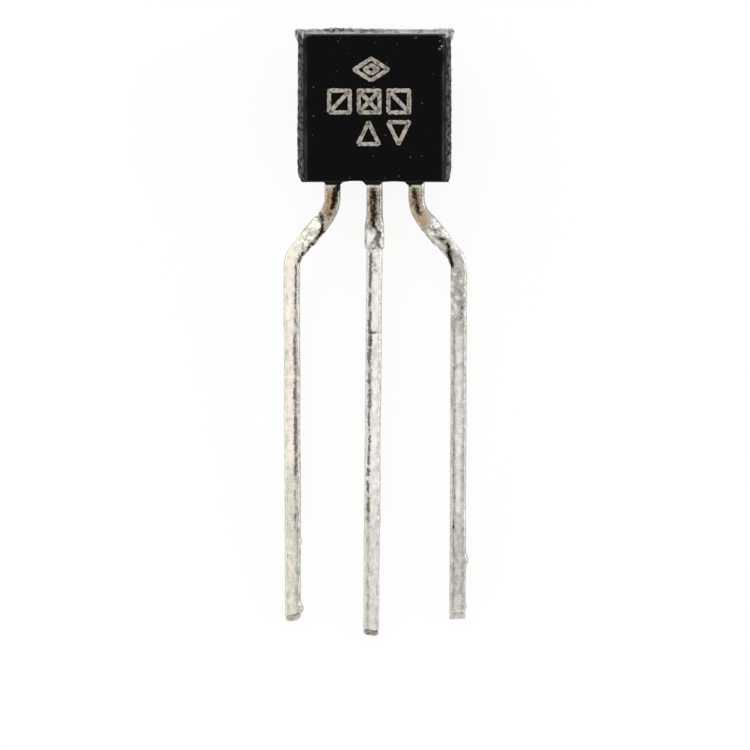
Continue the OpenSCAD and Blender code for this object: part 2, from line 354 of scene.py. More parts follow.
@dataclass(frozen=True)
class MouldedEpoxy(Finish):
    """Black epoxy filled with silica, pressed in a mould: near black and even on the flat face, greyer and
    grainy on the drafted sides, where the spark-eroded mould gave a rough skin, with a painted highlight on
    the top end, painted sheen on the sides and a painted highlight along the face's side edges. The filler
    is finer than the render shows, so the grain is drawn coarser than it is."""

    face: str = "#070707"
    side: str = "#1b1a19"
    worn: str = "#4d4b49"
    chalk_and_highlight: str = "#c4c1bc"
    dust: str = "#53514e"
    edge_highlight: str = "#37342f"
    grain_mm: float = 0.03
    cloud_mm: float = 0.07
    scuff_mm: float = 0.07
    dust_mm: float = 0.027
    dust_cell_mm: float = 0.36
    relief_mm: float = 0.012

    def specks(self, tree: Tree, place: Socket) -> Socket:
        """Dust on the face: a round speck in the middle of about a quarter of the cells of a pattern.

        Args:
            tree: tree that the nodes go into.
            place: pattern coordinates.

        Returns:
            1 on a speck and 0 beside it.
        """
        parts = add_node(tree, "SeparateXYZ", {0: place}).node.outputs
        flat = add_node(tree, "CombineXYZ", {0: parts[0], 1: parts[2]})
        cell = {"Vector": flat, "Scale": 1 / self.dust_cell_mm}
        off_middle = add_node(tree, "TexVoronoi", cell, voronoi_dimensions="2D")
        lot = add_node(tree, "SeparateColor", {0: off_middle.node.outputs["Color"]})
        widest = self.dust_mm / self.dust_cell_mm
        reach = add_node(tree, "MapRange", {"Value": lot, "From Min": 0.72, "To Max": widest})
        return add_node(tree, "Math", {0: off_middle, 1: reach}, operation="LESS_THAN")

    def inputs(self, tree: Tree) -> dict[str, Value]:
        """Tint "skin" is 0 on the flat face and 1 elsewhere, "wear_and_highlight" says how much of the
        grain shows pale, as worn filler and as painted highlight and sheen, "gloss" how strongly it
        mirrors, "scuff" how uneven that is, and "lit" where a painted highlight runs along an edge.

        Args:
            tree: tree that the nodes go into.

        Returns:
            What goes into the main shader, by its socket's name.
        """
        place = add_node(tree, "Attribute", out="Vector", attribute_name="place")
        skin, wear_and_highlight, lit, gloss, scuff = (
            add_node(tree, "Attribute", out="Fac", attribute_name=tint)
            for tint in ("skin", "wear_and_highlight", "lit", "gloss", "scuff")
        )
        drawn = add_node(tree, "Mapping", {"Vector": place, "Scale": (1.0, 0.6, 1.0)})
        grain = add_node(tree, "TexNoise", {"Vector": drawn, "Scale": 0.5 / self.grain_mm, "Detail": 4.0})
        cloud = add_node(tree, "TexNoise", {"Vector": drawn, "Scale": 0.5 / self.cloud_mm, "Detail": 4.0})
        both = add_node(tree, "Math", {0: grain, 1: cloud}, operation="ADD")
        uneven = add_node(tree, "Math", {0: both, 1: 0.5}, operation="MULTIPLY")
        on_face = add_node(tree, "MapRange", {"Value": skin, "From Max": 0.3, "To Min": 1.0, "To Max": 0.0})
        speck = add_node(tree, "Math", {0: self.specks(tree, place), 1: on_face}, operation="MULTIPLY")
        clinging = add_node(tree, "MapRange", {"Value": grain, "From Min": 0.3, "From Max": 0.6})
        dusty = add_node(tree, "Math", {0: speck, 1: clinging}, operation="MULTIPLY")
        layers = (
            (skin, srgb(self.side)),
            # Painted highlight along the face's side edges.
            (lit, srgb(self.edge_highlight)),
            # Pale grain: worn filler, and on the top end and the sides painted highlight and sheen.
            (self.torn(tree, wear_and_highlight, cloud, 3.2, 0.25, 1.0), srgb(self.worn)),
            (self.torn(tree, wear_and_highlight, uneven, 4.0, 0.55, 1.2), srgb(self.chalk_and_highlight)),
            (dusty, srgb(self.dust)),
        )
        long = add_node(tree, "Mapping", {"Vector": place, "Scale": (1.0, 0.2, 1.0)})
        lines = add_node(tree, "TexNoise", {"Vector": long, "Scale": 0.5 / self.scuff_mm, "Detail": 3.0})
        spread = {"Value": lines, "From Min": 0.45, "From Max": 0.56, "To Min": 0.05, "To Max": 2.6}
        scuffs = add_node(tree, "Mix", {0: scuff, 2: 1.0, 3: add_node(tree, "MapRange", spread)})
        mirror = add_node(tree, "Math", {0: gloss, 1: scuffs}, operation="MULTIPLY")
        smoother = add_node(tree, "Math", {0: gloss, 1: -0.5, 2: 0.36}, operation="MULTIPLY_ADD")
        rougher = add_node(tree, "Math", {0: skin, 1: 0.3, 2: smoother}, operation="MULTIPLY_ADD")
        relief = add_node(tree, "Math", {0: uneven, 1: skin}, operation="MULTIPLY")
        bump = {"Height": relief, "Distance": self.relief_mm * MM, "Strength": 0.6}
        return {
            "Base Color": self.layered(tree, srgb(self.face), layers),
            "Specular IOR Level": mirror,
            "Roughness": add_node(tree, "Math", {0: cloud, 1: 0.12, 2: rougher}, operation="MULTIPLY_ADD"),
            "Normal": add_node(tree, "Bump", bump),
        }


@dataclass(frozen=True)
class TornEpoxy(Finish):
    """Epoxy squeezed out of the mould's joint or broken off at the gate: dry, grey and crumbly."""

    dark: str = "#1f1e1d"
    pale: str = "#cbc8c3"
    crumb_mm: float = 0.045
    relief_mm: float = 0.012

    def inputs(self, tree: Tree) -> dict[str, Value]:
        """Tint "wear_and_highlight" says how much of it is pale: crumbled epoxy, with painted highlight on
        the upper parts of the flash and the gate stump.

        Args:
            tree: tree that the nodes go into.

        Returns:
            What goes into the main shader, by its socket's name.
        """
        place = add_node(tree, "Attribute", out="Vector", attribute_name="place")
        wear_and_highlight = add_node(tree, "Attribute", out="Fac", attribute_name="wear_and_highlight")
        crumbs = add_node(tree, "TexNoise", {"Vector": place, "Scale": 0.5 / self.crumb_mm, "Detail": 5.0})
        layers = ((self.torn(tree, wear_and_highlight, crumbs, 2.2, 0.2, 0.8), srgb(self.pale)),)
        bump = {"Height": crumbs, "Distance": self.relief_mm * MM, "Strength": 0.7}
        return {
            "Base Color": self.layered(tree, srgb(self.dark), layers),
            "Roughness": 0.6,
            "Specular IOR Level": 0.2,
            "Normal": add_node(tree, "Bump", bump),
        }


@dataclass(frozen=True)
class LaserMark(Finish):
    """Epoxy scorched by a marking laser: the filler shows as a dry, warm grey trace with dark gaps."""

    mark: str = "#a8a095"
    scorched: str = "#5a554e"
    crumb_mm: float = 0.05

    def inputs(self, tree: Tree) -> dict[str, Value]:
        """Gives the trace its gaps by a noise of crumbs.

        Args:
            tree: tree that the nodes go into.

        Returns:
            What goes into the main shader, by its socket's name.
        """
        place = add_node(tree, "Attribute", out="Vector", attribute_name="place")
        crumbs = add_node(tree, "TexNoise", {"Vector": place, "Scale": 0.5 / self.crumb_mm, "Detail": 3.0})
        share = add_node(tree, "MapRange", {"Value": crumbs, "From Min": 0.3, "From Max": 0.55})
        colour = self.layered(tree, srgb(self.scorched), ((share, srgb(self.mark)),))
        return {"Base Color": colour, "Roughness": 0.9, "Specular IOR Level": 0.1}


@dataclass(frozen=True)
class DippedTin(Finish):
    """Copper alloy strip dipped in molten tin: satin white where the tin is thick, grey where it drew off,
    with grainy copper near the case, black scrapes of the forming tool, and highlights and shade painted
    into the colour."""

    pale: str = "#fff9ea"
    cool: str = "#fbfbf7"
    dull: str = "#aeaba1"
    copper: str = "#b08d63"
    grime: str = "#79726a"
    soot_and_shade: str = "#2a1c10"
    cloud_mm: float = 0.09
    crinkle_mm: float = 0.0625
    sand_mm: float = 0.028
    relief_mm: float = 0.009

    def inputs(self, tree: Tree) -> dict[str, Value]:
        """Tints "copper", "grime", "soot_and_shade" and "pale" say where each shows, the dark one taking in
        painted shade and "pale" painted highlights, and "warm" how creamy the tin is.

        Args:
            tree: tree that the nodes go into.

        Returns:
            What goes into the main shader, by its socket's name.
        """
        place = add_node(tree, "Attribute", out="Vector", attribute_name="place")
        warm, pale, copper, grime, soot_and_shade = (
            add_node(tree, "Attribute", out="Fac", attribute_name=tint)
            for tint in ("warm", "pale", "copper", "grime", "soot_and_shade")
        )
        drawn = add_node(tree, "Mapping", {"Vector": place, "Scale": (1.0, 1.0, 0.4)})
        clouds = add_node(tree, "TexNoise", {"Vector": drawn, "Scale": 0.5 / self.cloud_mm, "Detail": 4.0})
        folds = {"Vector": drawn, "Scale": 0.5 / self.crinkle_mm, "Detail": 3.0, "Distortion": 1.2}
        crinkle = add_node(tree, "TexNoise", folds)
        sand = add_node(tree, "TexNoise", {"Vector": place, "Scale": 0.5 / self.sand_mm, "Detail": 3.0})
        both = add_node(tree, "Math", {0: clouds, 1: crinkle}, operation="ADD")
        mottle = add_node(tree, "Math", {0: both, 1: 0.5}, operation="MULTIPLY")
        both = add_node(tree, "Math", {0: mottle, 1: sand}, operation="ADD")
        ragged = add_node(tree, "Math", {0: both, 1: 0.5}, operation="MULTIPLY")
        layers = (
            # Bright tin, partly painted highlight.
            (
                self.torn(tree, pale, mottle, 1.5, 0.05, 1.12),
                self.layered(tree, srgb(self.cool), ((warm, srgb(self.pale)),)),
            ),
            (self.torn(tree, copper, sand, 1.4, 0.1, 1.0), srgb(self.copper)),
            (self.torn(tree, grime, ragged, 3.2, 0.3, 0.8), srgb(self.grime)),
            # Near-black layer: scrapes, the dark cut, and painted shade along the edges and in streaks.
            (self.torn(tree, soot_and_shade, ragged, 2.8, 0.25, 0.95), srgb(self.soot_and_shade)),
        )
        gloss = {"Value": clouds, "From Min": 0.35, "From Max": 0.65, "To Min": 0.24, "To Max": 0.38}
        relief = add_node(tree, "Math", {0: mottle, 1: 5.0, 2: sand}, operation="MULTIPLY_ADD")
        bump = {"Height": relief, "Distance": self.relief_mm * MM, "Strength": 0.8}
        return {
            "Base Color": self.layered(tree, srgb(self.dull), layers),
            "Metallic": 1.0,
            "Roughness": add_node(tree, "MapRange", gloss),
            "Normal": add_node(tree, "Bump", bump),
        }


@dataclass(frozen=True)
class InsideMetal(Finish):
    """Metal inside the case: dull grey die solder or bright drawn gold wire, by its colour and gloss."""

    colour: str
    roughness: float
    grain_mm: float = 0.05556

    def inputs(self, tree: Tree) -> dict[str, Value]:
        """Varies the roughness by 30% either way with the grain.

        Args:
            tree: tree that the nodes go into.

        Returns:
            What goes into the main shader, by its socket's name.
        """
        place = add_node(tree, "TexCoord", out="Object")
        grain = add_node(tree, "TexNoise", {"Vector": place, "Scale": 0.5 / (self.grain_mm * MM)})
        ends = {"To Min": 0.7 * self.roughness, "To Max": 1.3 * self.roughness}
        uneven = add_node(tree, "MapRange", {"Value": grain, "From Min": 0.3, "From Max": 0.7} | ends)
        return {"Base Color": srgb(self.colour), "Metallic": 1.0, "Roughness": uneven}


@dataclass(frozen=True)
class PolishedSilicon(Finish):
    """Polished silicon under a thin oxide: a dark blue-grey mirror with faint clouds."""

    colour: str = "#4a505a"
    oxide: str = "#565460"
    cloud_mm: float = 0.125

    def inputs(self, tree: Tree) -> dict[str, Value]:
        """Lays the oxide over the silicon in clouds.

        Args:
            tree: tree that the nodes go into.

        Returns:
            What goes into the main shader, by its socket's name.
        """
        place = add_node(tree, "TexCoord", out="Object")
        cloud = add_node(tree, "TexNoise", {"Vector": place, "Scale": 0.5 / (self.cloud_mm * MM)})
        colour = self.layered(tree, srgb(self.colour), ((cloud, srgb(self.oxide)),))
        return {"Base Color": colour, "Roughness": 0.12}


# The case


@dataclass
class MouldedCase:
    """Body pressed in two mould halves: a flat-faced front half with drafted sides, a round back half,
    and ends that slope away from the parting line at y = 0.

    Lengths are in millimetres and drafts in degrees. The ends of the front half have front_draft at
    the bottom and top_draft at the top, and both ends of the back half have end_draft. collars_at
    holds the middle and half width of the epoxy round each lead, and nicks the x, z and size of the
    pale spots along the face's edges. The last five numbers say how fine the mesh is.
    """

    width: float = 4.6
    height: float = 4.6
    face_depth: float = 1.25
    side_draft: float = 9.0
    end_draft: float = 8.0
    front_draft: float = 6.2
    top_draft: float = 4.1
    edge_r: float = 0.15
    rim_r: float = 0.05
    pin_mark_d: float = 1.1
    pin_mark_depth: float = 0.11
    collar_h: float = 0.09
    collar_depth: float = 0.3
    collar_slope: float = 0.1
    collars_at: tuple[tuple[float, float], ...] = ((-1.25, 0.2), (-0.05, 0.2), (1.21, 0.2))
    nicks: tuple[tuple[float, float, float], ...] = (
        (-1.0, 4.4, 0.035), (1.2, 4.39, 0.03), (1.95, 4.3, 0.03), (2.0, 4.15, 0.035),
        (1.93, 4.06, 0.03), (0.02, 4.25, 0.025), (2.02, 3.3, 0.025),
    )
    flank_points: int = 25
    front_points: int = 55
    back_points: int = 168
    wall_rings: int = 110
    end_rings: int = 57

    def plan(self) -> tuple[Array, Array]:
        """Outline seen from below: a flank that leans in by the draft, a rounded edge and half the flat
        front, the same mirrored, and half a circle behind.

        Returns:
            Points of the outline and their outward directions, (n, 2) each.
        """
        draft = np.radians(self.side_draft)
        side_x = self.width / 2 - self.edge_r / np.cos(draft)
        cx = side_x - (self.face_depth - self.edge_r) * np.tan(draft)
        cy = self.edge_r - self.face_depth
        turn = np.linspace(-draft, -np.pi / 2, 10)
        edge = np.stack([np.cos(turn), np.sin(turn)], -1)
        corner = np.array([cx, cy]) + self.edge_r * edge
        share = np.linspace(0, 1, self.flank_points + 1)[:-1, None]
        flank = (1 - share) * np.array([self.width / 2, 0.0]) + share * corner[0]
        flank_way = np.tile([np.cos(draft), -np.sin(draft)], (len(flank), 1))
        share = np.linspace(0, 1, self.front_points + 1)[1:, None]
        front = (1 - share) * corner[-1] + share * np.array([0.0, -self.face_depth])
        front_way = np.tile([0.0, -1.0], (len(front), 1))
        right = np.vstack([flank, corner, front])
        way = np.vstack([flank_way, edge, front_way])
        mirror = np.array([-1.0, 1.0])
        turn = np.linspace(np.pi, 0, self.back_points + 2)[1:-1]
        round_back = np.stack([np.cos(turn), np.sin(turn)], -1)
        left_edge = np.array([[-self.width / 2, 0.0]])
        points = [right, right[-2:0:-1] * mirror, left_edge, self.width / 2 * round_back]
        ways = [way, way[-2:0:-1] * mirror, np.array([[-1.0, 0.0]]), round_back]
        return np.vstack(points), np.vstack(ways)

    def collars(self, x: Array, y: Array) -> Array:
        """Height of the epoxy drawn down round the three leads: the collar's height, falling off
        steeply with the distance from a rectangle round each lead, less a shallow arch between
        neighbours that is higher on the left.

        Args:
            x: places across on the bottom.
            y: places from front to back there.

        Returns:
            How far the epoxy hangs below the plain bottom.
        """
        height = np.zeros_like(x)
        for centre, half in self.collars_at:
            dx = np.maximum(np.abs(x - centre) - half, 0)
            dy = np.maximum(np.abs(y) - self.collar_depth, 0)
            drawn = self.collar_h * smooth(np.hypot(dx, dy), self.collar_slope, 0.0)
            height = np.maximum(height, drawn)
        arch = 0.055 * bell(x + 0.57, 0.24) + 0.02 * bell(x - 0.6, 0.25)
        return height - arch * bell(y, 0.8) * (height < 1e-6)

    def end_slope(self, y: Array, front_draft: float) -> Array:
        """How far an end has drawn in at a distance from the parting line: |y| · tan(draft)."""
        draft = np.where(y < 0, front_draft, self.end_draft)
        return np.abs(y) * np.tan(np.radians(draft))

    def surface(self) -> Skin:
        """Carries the outline from the bottom pole up the wall to the top pole: the ends rise from
        z = 0, and fall from z = height, by their slope, and the rims are quarters of a circle.

        Returns:
            The whole case with its tints.
        """
        plan, way = self.plan()
        shrink = np.linspace(0, 1, self.end_rings + 1)[1:, None, None] ** 0.85
        inner = (plan - self.rim_r * way) * shrink
        rises = (self.front_draft, self.top_draft)
        foot_end, top_end = (self.end_slope(inner[..., 1:], draft) for draft in rises)
        turn = np.linspace(0, np.pi / 2, 6)[1:-1, None, None]
        rim = plan - self.rim_r * (1 - np.sin(turn)) * way
        rounded = self.rim_r * (1 - np.cos(turn))
        foot_rim, top_rim = (self.end_slope(rim[..., 1:], draft) + rounded for draft in rises)
        share = np.linspace(0, 1, self.wall_rings)[:, None, None]
        wall = np.broadcast_to(plan, (self.wall_rings, *plan.shape))
        foot, head = (self.end_slope(wall[..., 1:], draft) + self.rim_r for draft in rises)
        wall_z = foot + (self.height - foot - head) * share
        low = np.concatenate([inner, rim])
        bottom = np.concatenate([low, np.concatenate([foot_end, foot_rim])], -1)
        bottom[..., 2] -= self.collars(bottom[..., 0], bottom[..., 1])
        top = np.concatenate([low, self.height - np.concatenate([top_end, top_rim])], -1)[::-1]
        rings = np.concatenate([bottom, np.concatenate([wall, wall_z], -1), top])
        ways = np.broadcast_to(np.append(way, np.zeros((len(way), 1)), 1), rings.shape)
        return Skin("moulded_case", self.worn(rings, ways), rings, self.tints(rings))

    def worn(self, rings: Array, ways: Array) -> Array:
        """Adds the slight sag of the walls, their grain everywhere but on the flat face, and the ejector
        pin's mark, a round step into the back, and moves the bottom corners in, more so on the left.

        Args:
            rings: points of the plain case.
            ways: their outward directions.

        Returns:
            The moved points.
        """
        x, y, z = rings[..., 0], rings[..., 1], rings[..., 2]
        on_wall = smooth(z, 0.0, 0.15) * smooth(self.height - z, 0.0, 0.15)
        sag = -0.004 * np.maximum(1 + Ripples(1.3, 3).at(rings), 0) * on_wall
        sag -= 0.0016 * np.abs(Ripples(0.14, 4).at(rings)) * on_wall * (y > -self.face_depth + 0.1)
        off_pin = np.hypot(x, z - self.height / 2)
        edge = self.pin_mark_d / 2
        sag -= self.pin_mark_depth * smooth(off_pin, edge + 0.03, edge - 0.03) * (y > 1)
        moved = rings + sag[..., None] * ways
        blunt = np.where(x < 0, 0.08, -0.05) * bell(z, 0.16) * smooth(np.abs(x), 1.7, 2.3)
        moved[..., 0] += blunt
        return moved

    def tints(self, rings: Array) -> dict[str, Array]:
        """How the finish varies, by smooth steps and bells over the places on the case.

        Skin is 0 on the flat face and its edges and 1 elsewhere. Wear_and_highlight is high on the front
        half's top, except left of its middle, where it is a painted highlight, and at the nicks, and low on
        the sides, where it is partly painted sheen and lighter on the right towards the bottom, and on the
        back half, with a painted dark line just behind the face's side edges. Lit is a painted highlight
        that follows the face's side edges, more strongly towards the bottom. Gloss is high on the top and
        least at the bottom, and scuff takes in the front half behind the face.

        Args:
            rings: points of the plain case.

        Returns:
            A value for each point by the tint's name.
        """
        x, y, z = rings[..., 0], rings[..., 1], rings[..., 2]
        front = -self.face_depth
        skin = smooth(y, front + 0.06, front + 0.2)
        slope = self.end_slope(y, self.front_draft)
        drop = self.end_slope(y, self.top_draft)
        reach = 0.015 + 0.11 * smooth(np.abs(x), 1.85, 2.15)
        on_top = smooth(z, self.height - drop - reach - 0.03, self.height - drop - reach)
        hidden = smooth(y, 0.0, 0.4)
        # On the sides the pale grain is partly painted sheen, lighter on the right side towards the bottom
        # as painted light.
        flank = 0.15 + 0.17 * smooth(y, -0.8, -0.2) + 0.14 * smooth(x, 0, 1) * smooth(z, 1.6, 0.2)
        flank = flank * smooth(z, slope + 0.02, slope + 0.15)
        flank = flank * (1 - hidden) + 0.12 * hidden
        # On the top end the pale grain is a painted highlight, weaker left of the middle.
        top = 0.42 + 0.3 * smooth(y, -0.35, 0.0) - 0.5 * bell(x + 1.05, 0.5) * smooth(y, -0.75, -0.3)
        top += 0.2 * bell(y + 0.9, 0.25) + 0.15 * smooth(x, 0.1, 0.6)
        top = top * (1 - hidden) + 0.12 * hidden
        wear_and_highlight = (flank * (1 - on_top) + top * on_top) * skin
        for nick_x, nick_z, size in self.nicks:
            near = bell(np.hypot(x - nick_x, z - nick_z), size) * (y < front + 0.2)
            wear_and_highlight = np.maximum(wear_and_highlight, near)
        # A painted dark line just behind the face's side edges, with less gloss there too.
        painted_dark_line = bell(y - front - 0.15, 0.08) * (1 - on_top)
        wear_and_highlight = wear_and_highlight * (1 - painted_dark_line)
        # Painted highlight along the face's side edges, stronger towards the bottom.
        lit = bell(y - front - 0.027, 0.02) * smooth(np.abs(x), 1.95, 2.02) * smooth(z, 0.05, 0.3)
        lit = lit * np.clip(0.45 + 0.35 * smooth(z, 2.2, 0.6) + 0.2 * Ripples(0.5, 41).at(rings), 0, 1)
        gloss = np.where(z < 0.12, 0.015, 0.043 + 0.07 * skin) * (1 - painted_dark_line)
        gloss += (0.5 + 0.12 * bell(y + 0.9, 0.3)) * on_top + 0.05 * hidden + 0.15 * lit
        scuff = skin * (1 - hidden)
        return {"skin": skin, "wear_and_highlight": np.clip(wear_and_highlight, 0, 1), "gloss": gloss, "lit": lit, "scuff": scuff}


@dataclass
class PartingFlash:
    """Thin ragged fin where the two mould halves met, with a curled ear at each top corner. It is
    carried through its sections, of which the first and last few taper off."""

    case: MouldedCase
    thickness: float = 0.05
    sections: int = 900
    section_points: int = 16
    tapered: int = 6

    def outline(self) -> tuple[Array, Array]:
        """Outer edge of the fin from the bottom left corner over the top to the bottom right one, a
        broken line through its corners, and that line held back inside the case.

        Returns:
            The outer edge and the inner line that the fin grows from, as (x, z), (n, 2) each.
        """
        half, high = self.case.width / 2, self.case.height
        left = [(-half + 0.2, 0.01), (-half + 0.02, 0.13), (-half - 0.03, 0.35), (-half - 0.03, 1.6)]
        left += [(-half - 0.012, 3.2), (-half, 4.2), (-half - 0.04, 4.3), (-half - 0.095, 4.4)]
        left += [(-half - 0.1, 4.5), (-half - 0.08, 4.57), (-half - 0.03, high + 0.015)]
        top = [(-1.9, high + 0.02), (-1.6, high + 0.015), (-1.45, high + 0.045), (-0.5, high + 0.045)]
        top += [(-0.2, high + 0.015), (0.1, high + 0.03), (1.0, high), (1.7, high + 0.01)]
        top += [(2.0, high + 0.05), (half - 0.1, high + 0.05)]
        right = [(half + 0.04, high + 0.02), (half + 0.095, 4.53), (half + 0.07, 4.42)]
        right += [(half + 0.05, 4.32), (half, 4.2), (half + 0.02, 3.0), (half + 0.03, 0.5)]
        right += [(half - 0.02, 0.12), (half - 0.15, 0.01)]
        outer = along_line(np.array(left + top + right), self.sections)[1]
        inner = np.clip(outer, [-half + 0.12, 0.2], [half - 0.12, high - 0.12])
        return outer, inner

    def surface(self) -> Skin:
        """A lens-shaped section between the inner line and the ragged outer edge, carried round: across
        it goes (1 - cos(turn)) / 2 of the way, and its thickness follows sin(turn).

        Returns:
            The fin with its tint.
        """
        outer, inner = self.outline()
        half, high = self.case.width / 2, self.case.height
        way = outer - inner
        reach = np.linalg.norm(way, axis=1, keepdims=True)
        probe = np.insert(outer, 1, 0, axis=1)
        upper = smooth(outer[:, 1], 4.1, 4.5)
        ragged = 0.009 * Ripples(0.35, 11).at(probe) + 0.006 * Ripples(0.09, 12).at(probe) - 0.006
        ragged = np.minimum(ragged, 0.008) * (0.3 + 0.7 * upper)
        outer = outer + way / reach * ragged[:, None]
        turn = np.linspace(0, 2 * np.pi, self.section_points, endpoint=False)
        along = (1 - np.cos(turn)) / 2
        thick = self.thickness * (0.5 + 0.5 * upper[:, None]) * np.sin(turn) * (1 - 0.45 * along)
        flat = inner[:, None] * (1 - along[None, :, None]) + outer[:, None] * along[None, :, None]
        wave = 0.012 * Ripples(0.5, 13).at(probe)[:, None] * along
        number = np.arange(self.sections)
        ends = np.minimum(1, np.minimum(number, number[::-1]) / self.tapered)[:, None]
        rings = np.stack([flat[..., 0], (thick + wave) * ends, flat[..., 1]], -1)
        rings[..., 0] = np.clip(rings[..., 0], -half - 0.1, half + 0.1)
        rings[..., 2] = np.minimum(rings[..., 2], high + 0.05)
        # The fin is paler on its upper part, partly as painted highlight, except over two bare stretches
        # and at the ears.
        bare = 0.35 * bell(outer[:, 0] + 1.15, 0.35) + 0.25 * bell(outer[:, 0] + 0.3, 0.3)
        ear = smooth(np.abs(outer[:, 0]), half - 0.1, half)
        wear_and_highlight = (0.3 + 0.6 * upper - (bare + 0.35 * ear) * upper)[:, None] * np.ones_like(turn)
        return Skin("parting_flash", rings, None, {"wear_and_highlight": wear_and_highlight})


@dataclass
class GateStump:
    """Torn root of the runner that fed the mould, a low crumbly ridge on top of the case, just in
    front of the parting line."""

    centre_x: float = -1.12
    centre_y: float = -0.13
    width: float = 0.86
    depth: float = 0.3
    top: float = 0.07
    roundness: float = 0.45
    ring_points: int = 120
    cap_rings: int = 30

    def surface(self, high: float) -> Skin:
        """Rings whose sides are the cosine and the sine to the power of roundness rise from inside the
        case and close over a broken, uneven top.

        Args:
            high: height of the case.

        Returns:
            The stump with its tint.
        """
        turn = np.linspace(0, 2 * np.pi, self.ring_points, endpoint=False)
        ring_x = np.sign(np.cos(turn)) * np.abs(np.cos(turn)) ** self.roundness * self.width / 2
        ring_y = np.sign(np.sin(turn)) * np.abs(np.sin(turn)) ** self.roundness * self.depth / 2
        closing = np.linspace(0.97, 0.03, self.cap_rings)
        crown = 0.03 * np.linspace(0.2, 1, self.cap_rings)
        shrink = np.concatenate([np.linspace(0.05, 1, 6), np.full(5, 1.0), closing])
        rise = np.concatenate([np.full(6, -0.2), np.linspace(-0.16, 0, 5), crown])
        x = self.centre_x + ring_x * shrink[:, None]
        y = self.centre_y + ring_y * shrink[:, None]
        z = np.broadcast_to(high + rise[:, None] - 0.015, x.shape)
        rings = np.stack([x, y, z], -1)
        broken = 0.014 * Ripples(0.16, 21).at(rings) + 0.008 * Ripples(0.05, 22).at(rings)
        free = smooth(rings[..., 2], high - 0.1, high)
        rings = rings + (free * broken)[..., None] * np.array([0.6, 0.8, 1.0])
        rings[..., 2] = np.minimum(rings[..., 2], high + self.top)
        # Paler towards its top, partly as painted highlight.
        wear_and_highlight = 0.3 + 0.25 * smooth(rings[..., 2], high, high + self.top)
        return Skin("gate_stump", rings, None, {"wear_and_highlight": wear_and_highlight})


@dataclass
class LaserMarking:
    """Generic marks where the real part carries print: three rows of plain geometric figures drawn
    with one stroke width. None of them is a letter, a number or a sign of any maker. rows holds the x
    and z of each row's middle and its width."""

    stroke: float = 0.12
    lift: float = 0.006
    sunk: float = 0.01
    height: float = 0.65
    point_gap: float = 0.02
    rows: tuple[tuple[float, float, float], ...] = (
        (-0.1, 3.46, 1.13), (-0.16, 2.51, 2.5), (0.27, 1.57, 1.64),
    )

    def paths(self) -> list[Array]:
        """Lines of the figures: a rhombus in a rhombus, then three boxes with their diagonals, then two
        triangles, each figure fitted to its cell of the row.

        Returns:
            Each line as (x, z) points on the face.
        """
        rhombus = np.array([(0, -1), (1, 0), (0, 1), (-1, 0), (0, -1)]) / 2
        box = np.array([(-1, -1), (1, -1), (1, 1), (-1, 1), (-1, -1)]) / 2
        rising = np.array([(-1, -1), (1, 1)]) / 2
        triangle = np.array([(-1, -1), (1, -1), (0, 1), (-1, -1)]) / 2
        falling = rising * np.array([1, -1])
        upturned = triangle * np.array([1, -1])
        rows = [
            [[rhombus, 0.4 * rhombus]],
            [[box, rising], [box, rising, falling], [box, falling]],
            [[triangle], [upturned]],
        ]
        lines = []
        for (x, z, width), figures in zip(self.rows, rows):
            cell = width / (1.2 * len(figures) - 0.2)
            size = np.array([cell - self.stroke, self.height])
            for index, figure in enumerate(figures):
                centre = np.array([x + 1.2 * cell * (index - (len(figures) - 1) / 2), z])
                lines += [centre + part * size for part in figure]
        return lines

    def surface(self, line: Array, depth: float, name: str) -> Skin:
        """A flat ribbon along the line, half a stroke to either side, rounded at its ends and a hair
        above the face.

        Args:
            line: points (x, z) of the stroke's middle.
            depth: distance of the flat face from y = 0.
            name: name of the piece.

        Returns:
            The ribbon.
        """
        length = np.linalg.norm(np.diff(line, axis=0), axis=1).sum()
        at, middle = along_line(line, max(12, int(length / self.point_gap)))
        way = np.gradient(middle, axis=0)
        way /= np.linalg.norm(way, axis=1, keepdims=True)
        left = np.stack([-way[:, 1], way[:, 0]], -1)
        from_end = np.minimum(at, at[-1] - at)
        rounding = (1 - from_end / (self.stroke / 2)).clip(0) ** 2
        closed = np.allclose(line[0], line[-1])
        narrow = 1 if closed else np.sqrt(np.clip(1 - rounding, 0.01, 1))
        probe = np.insert(middle, 1, 0, axis=1)
        half = self.stroke / 2 * narrow * (1 + 0.07 * Ripples(0.09, 31).at(probe))
        turn = np.linspace(0, 2 * np.pi, 10, endpoint=False)
        side = np.cos(turn)[None, :, None] * left[:, None] * np.reshape(half, (-1, 1, 1))
        flat = middle[:, None] + side
        raised = (np.sin(turn) > -0.1) * np.ones(flat.shape[:2])
        out = -depth + self.sunk - (self.lift + self.sunk) * raised
        return Skin(name, np.stack([flat[..., 0], out, flat[..., 1]], -1))


# The leads


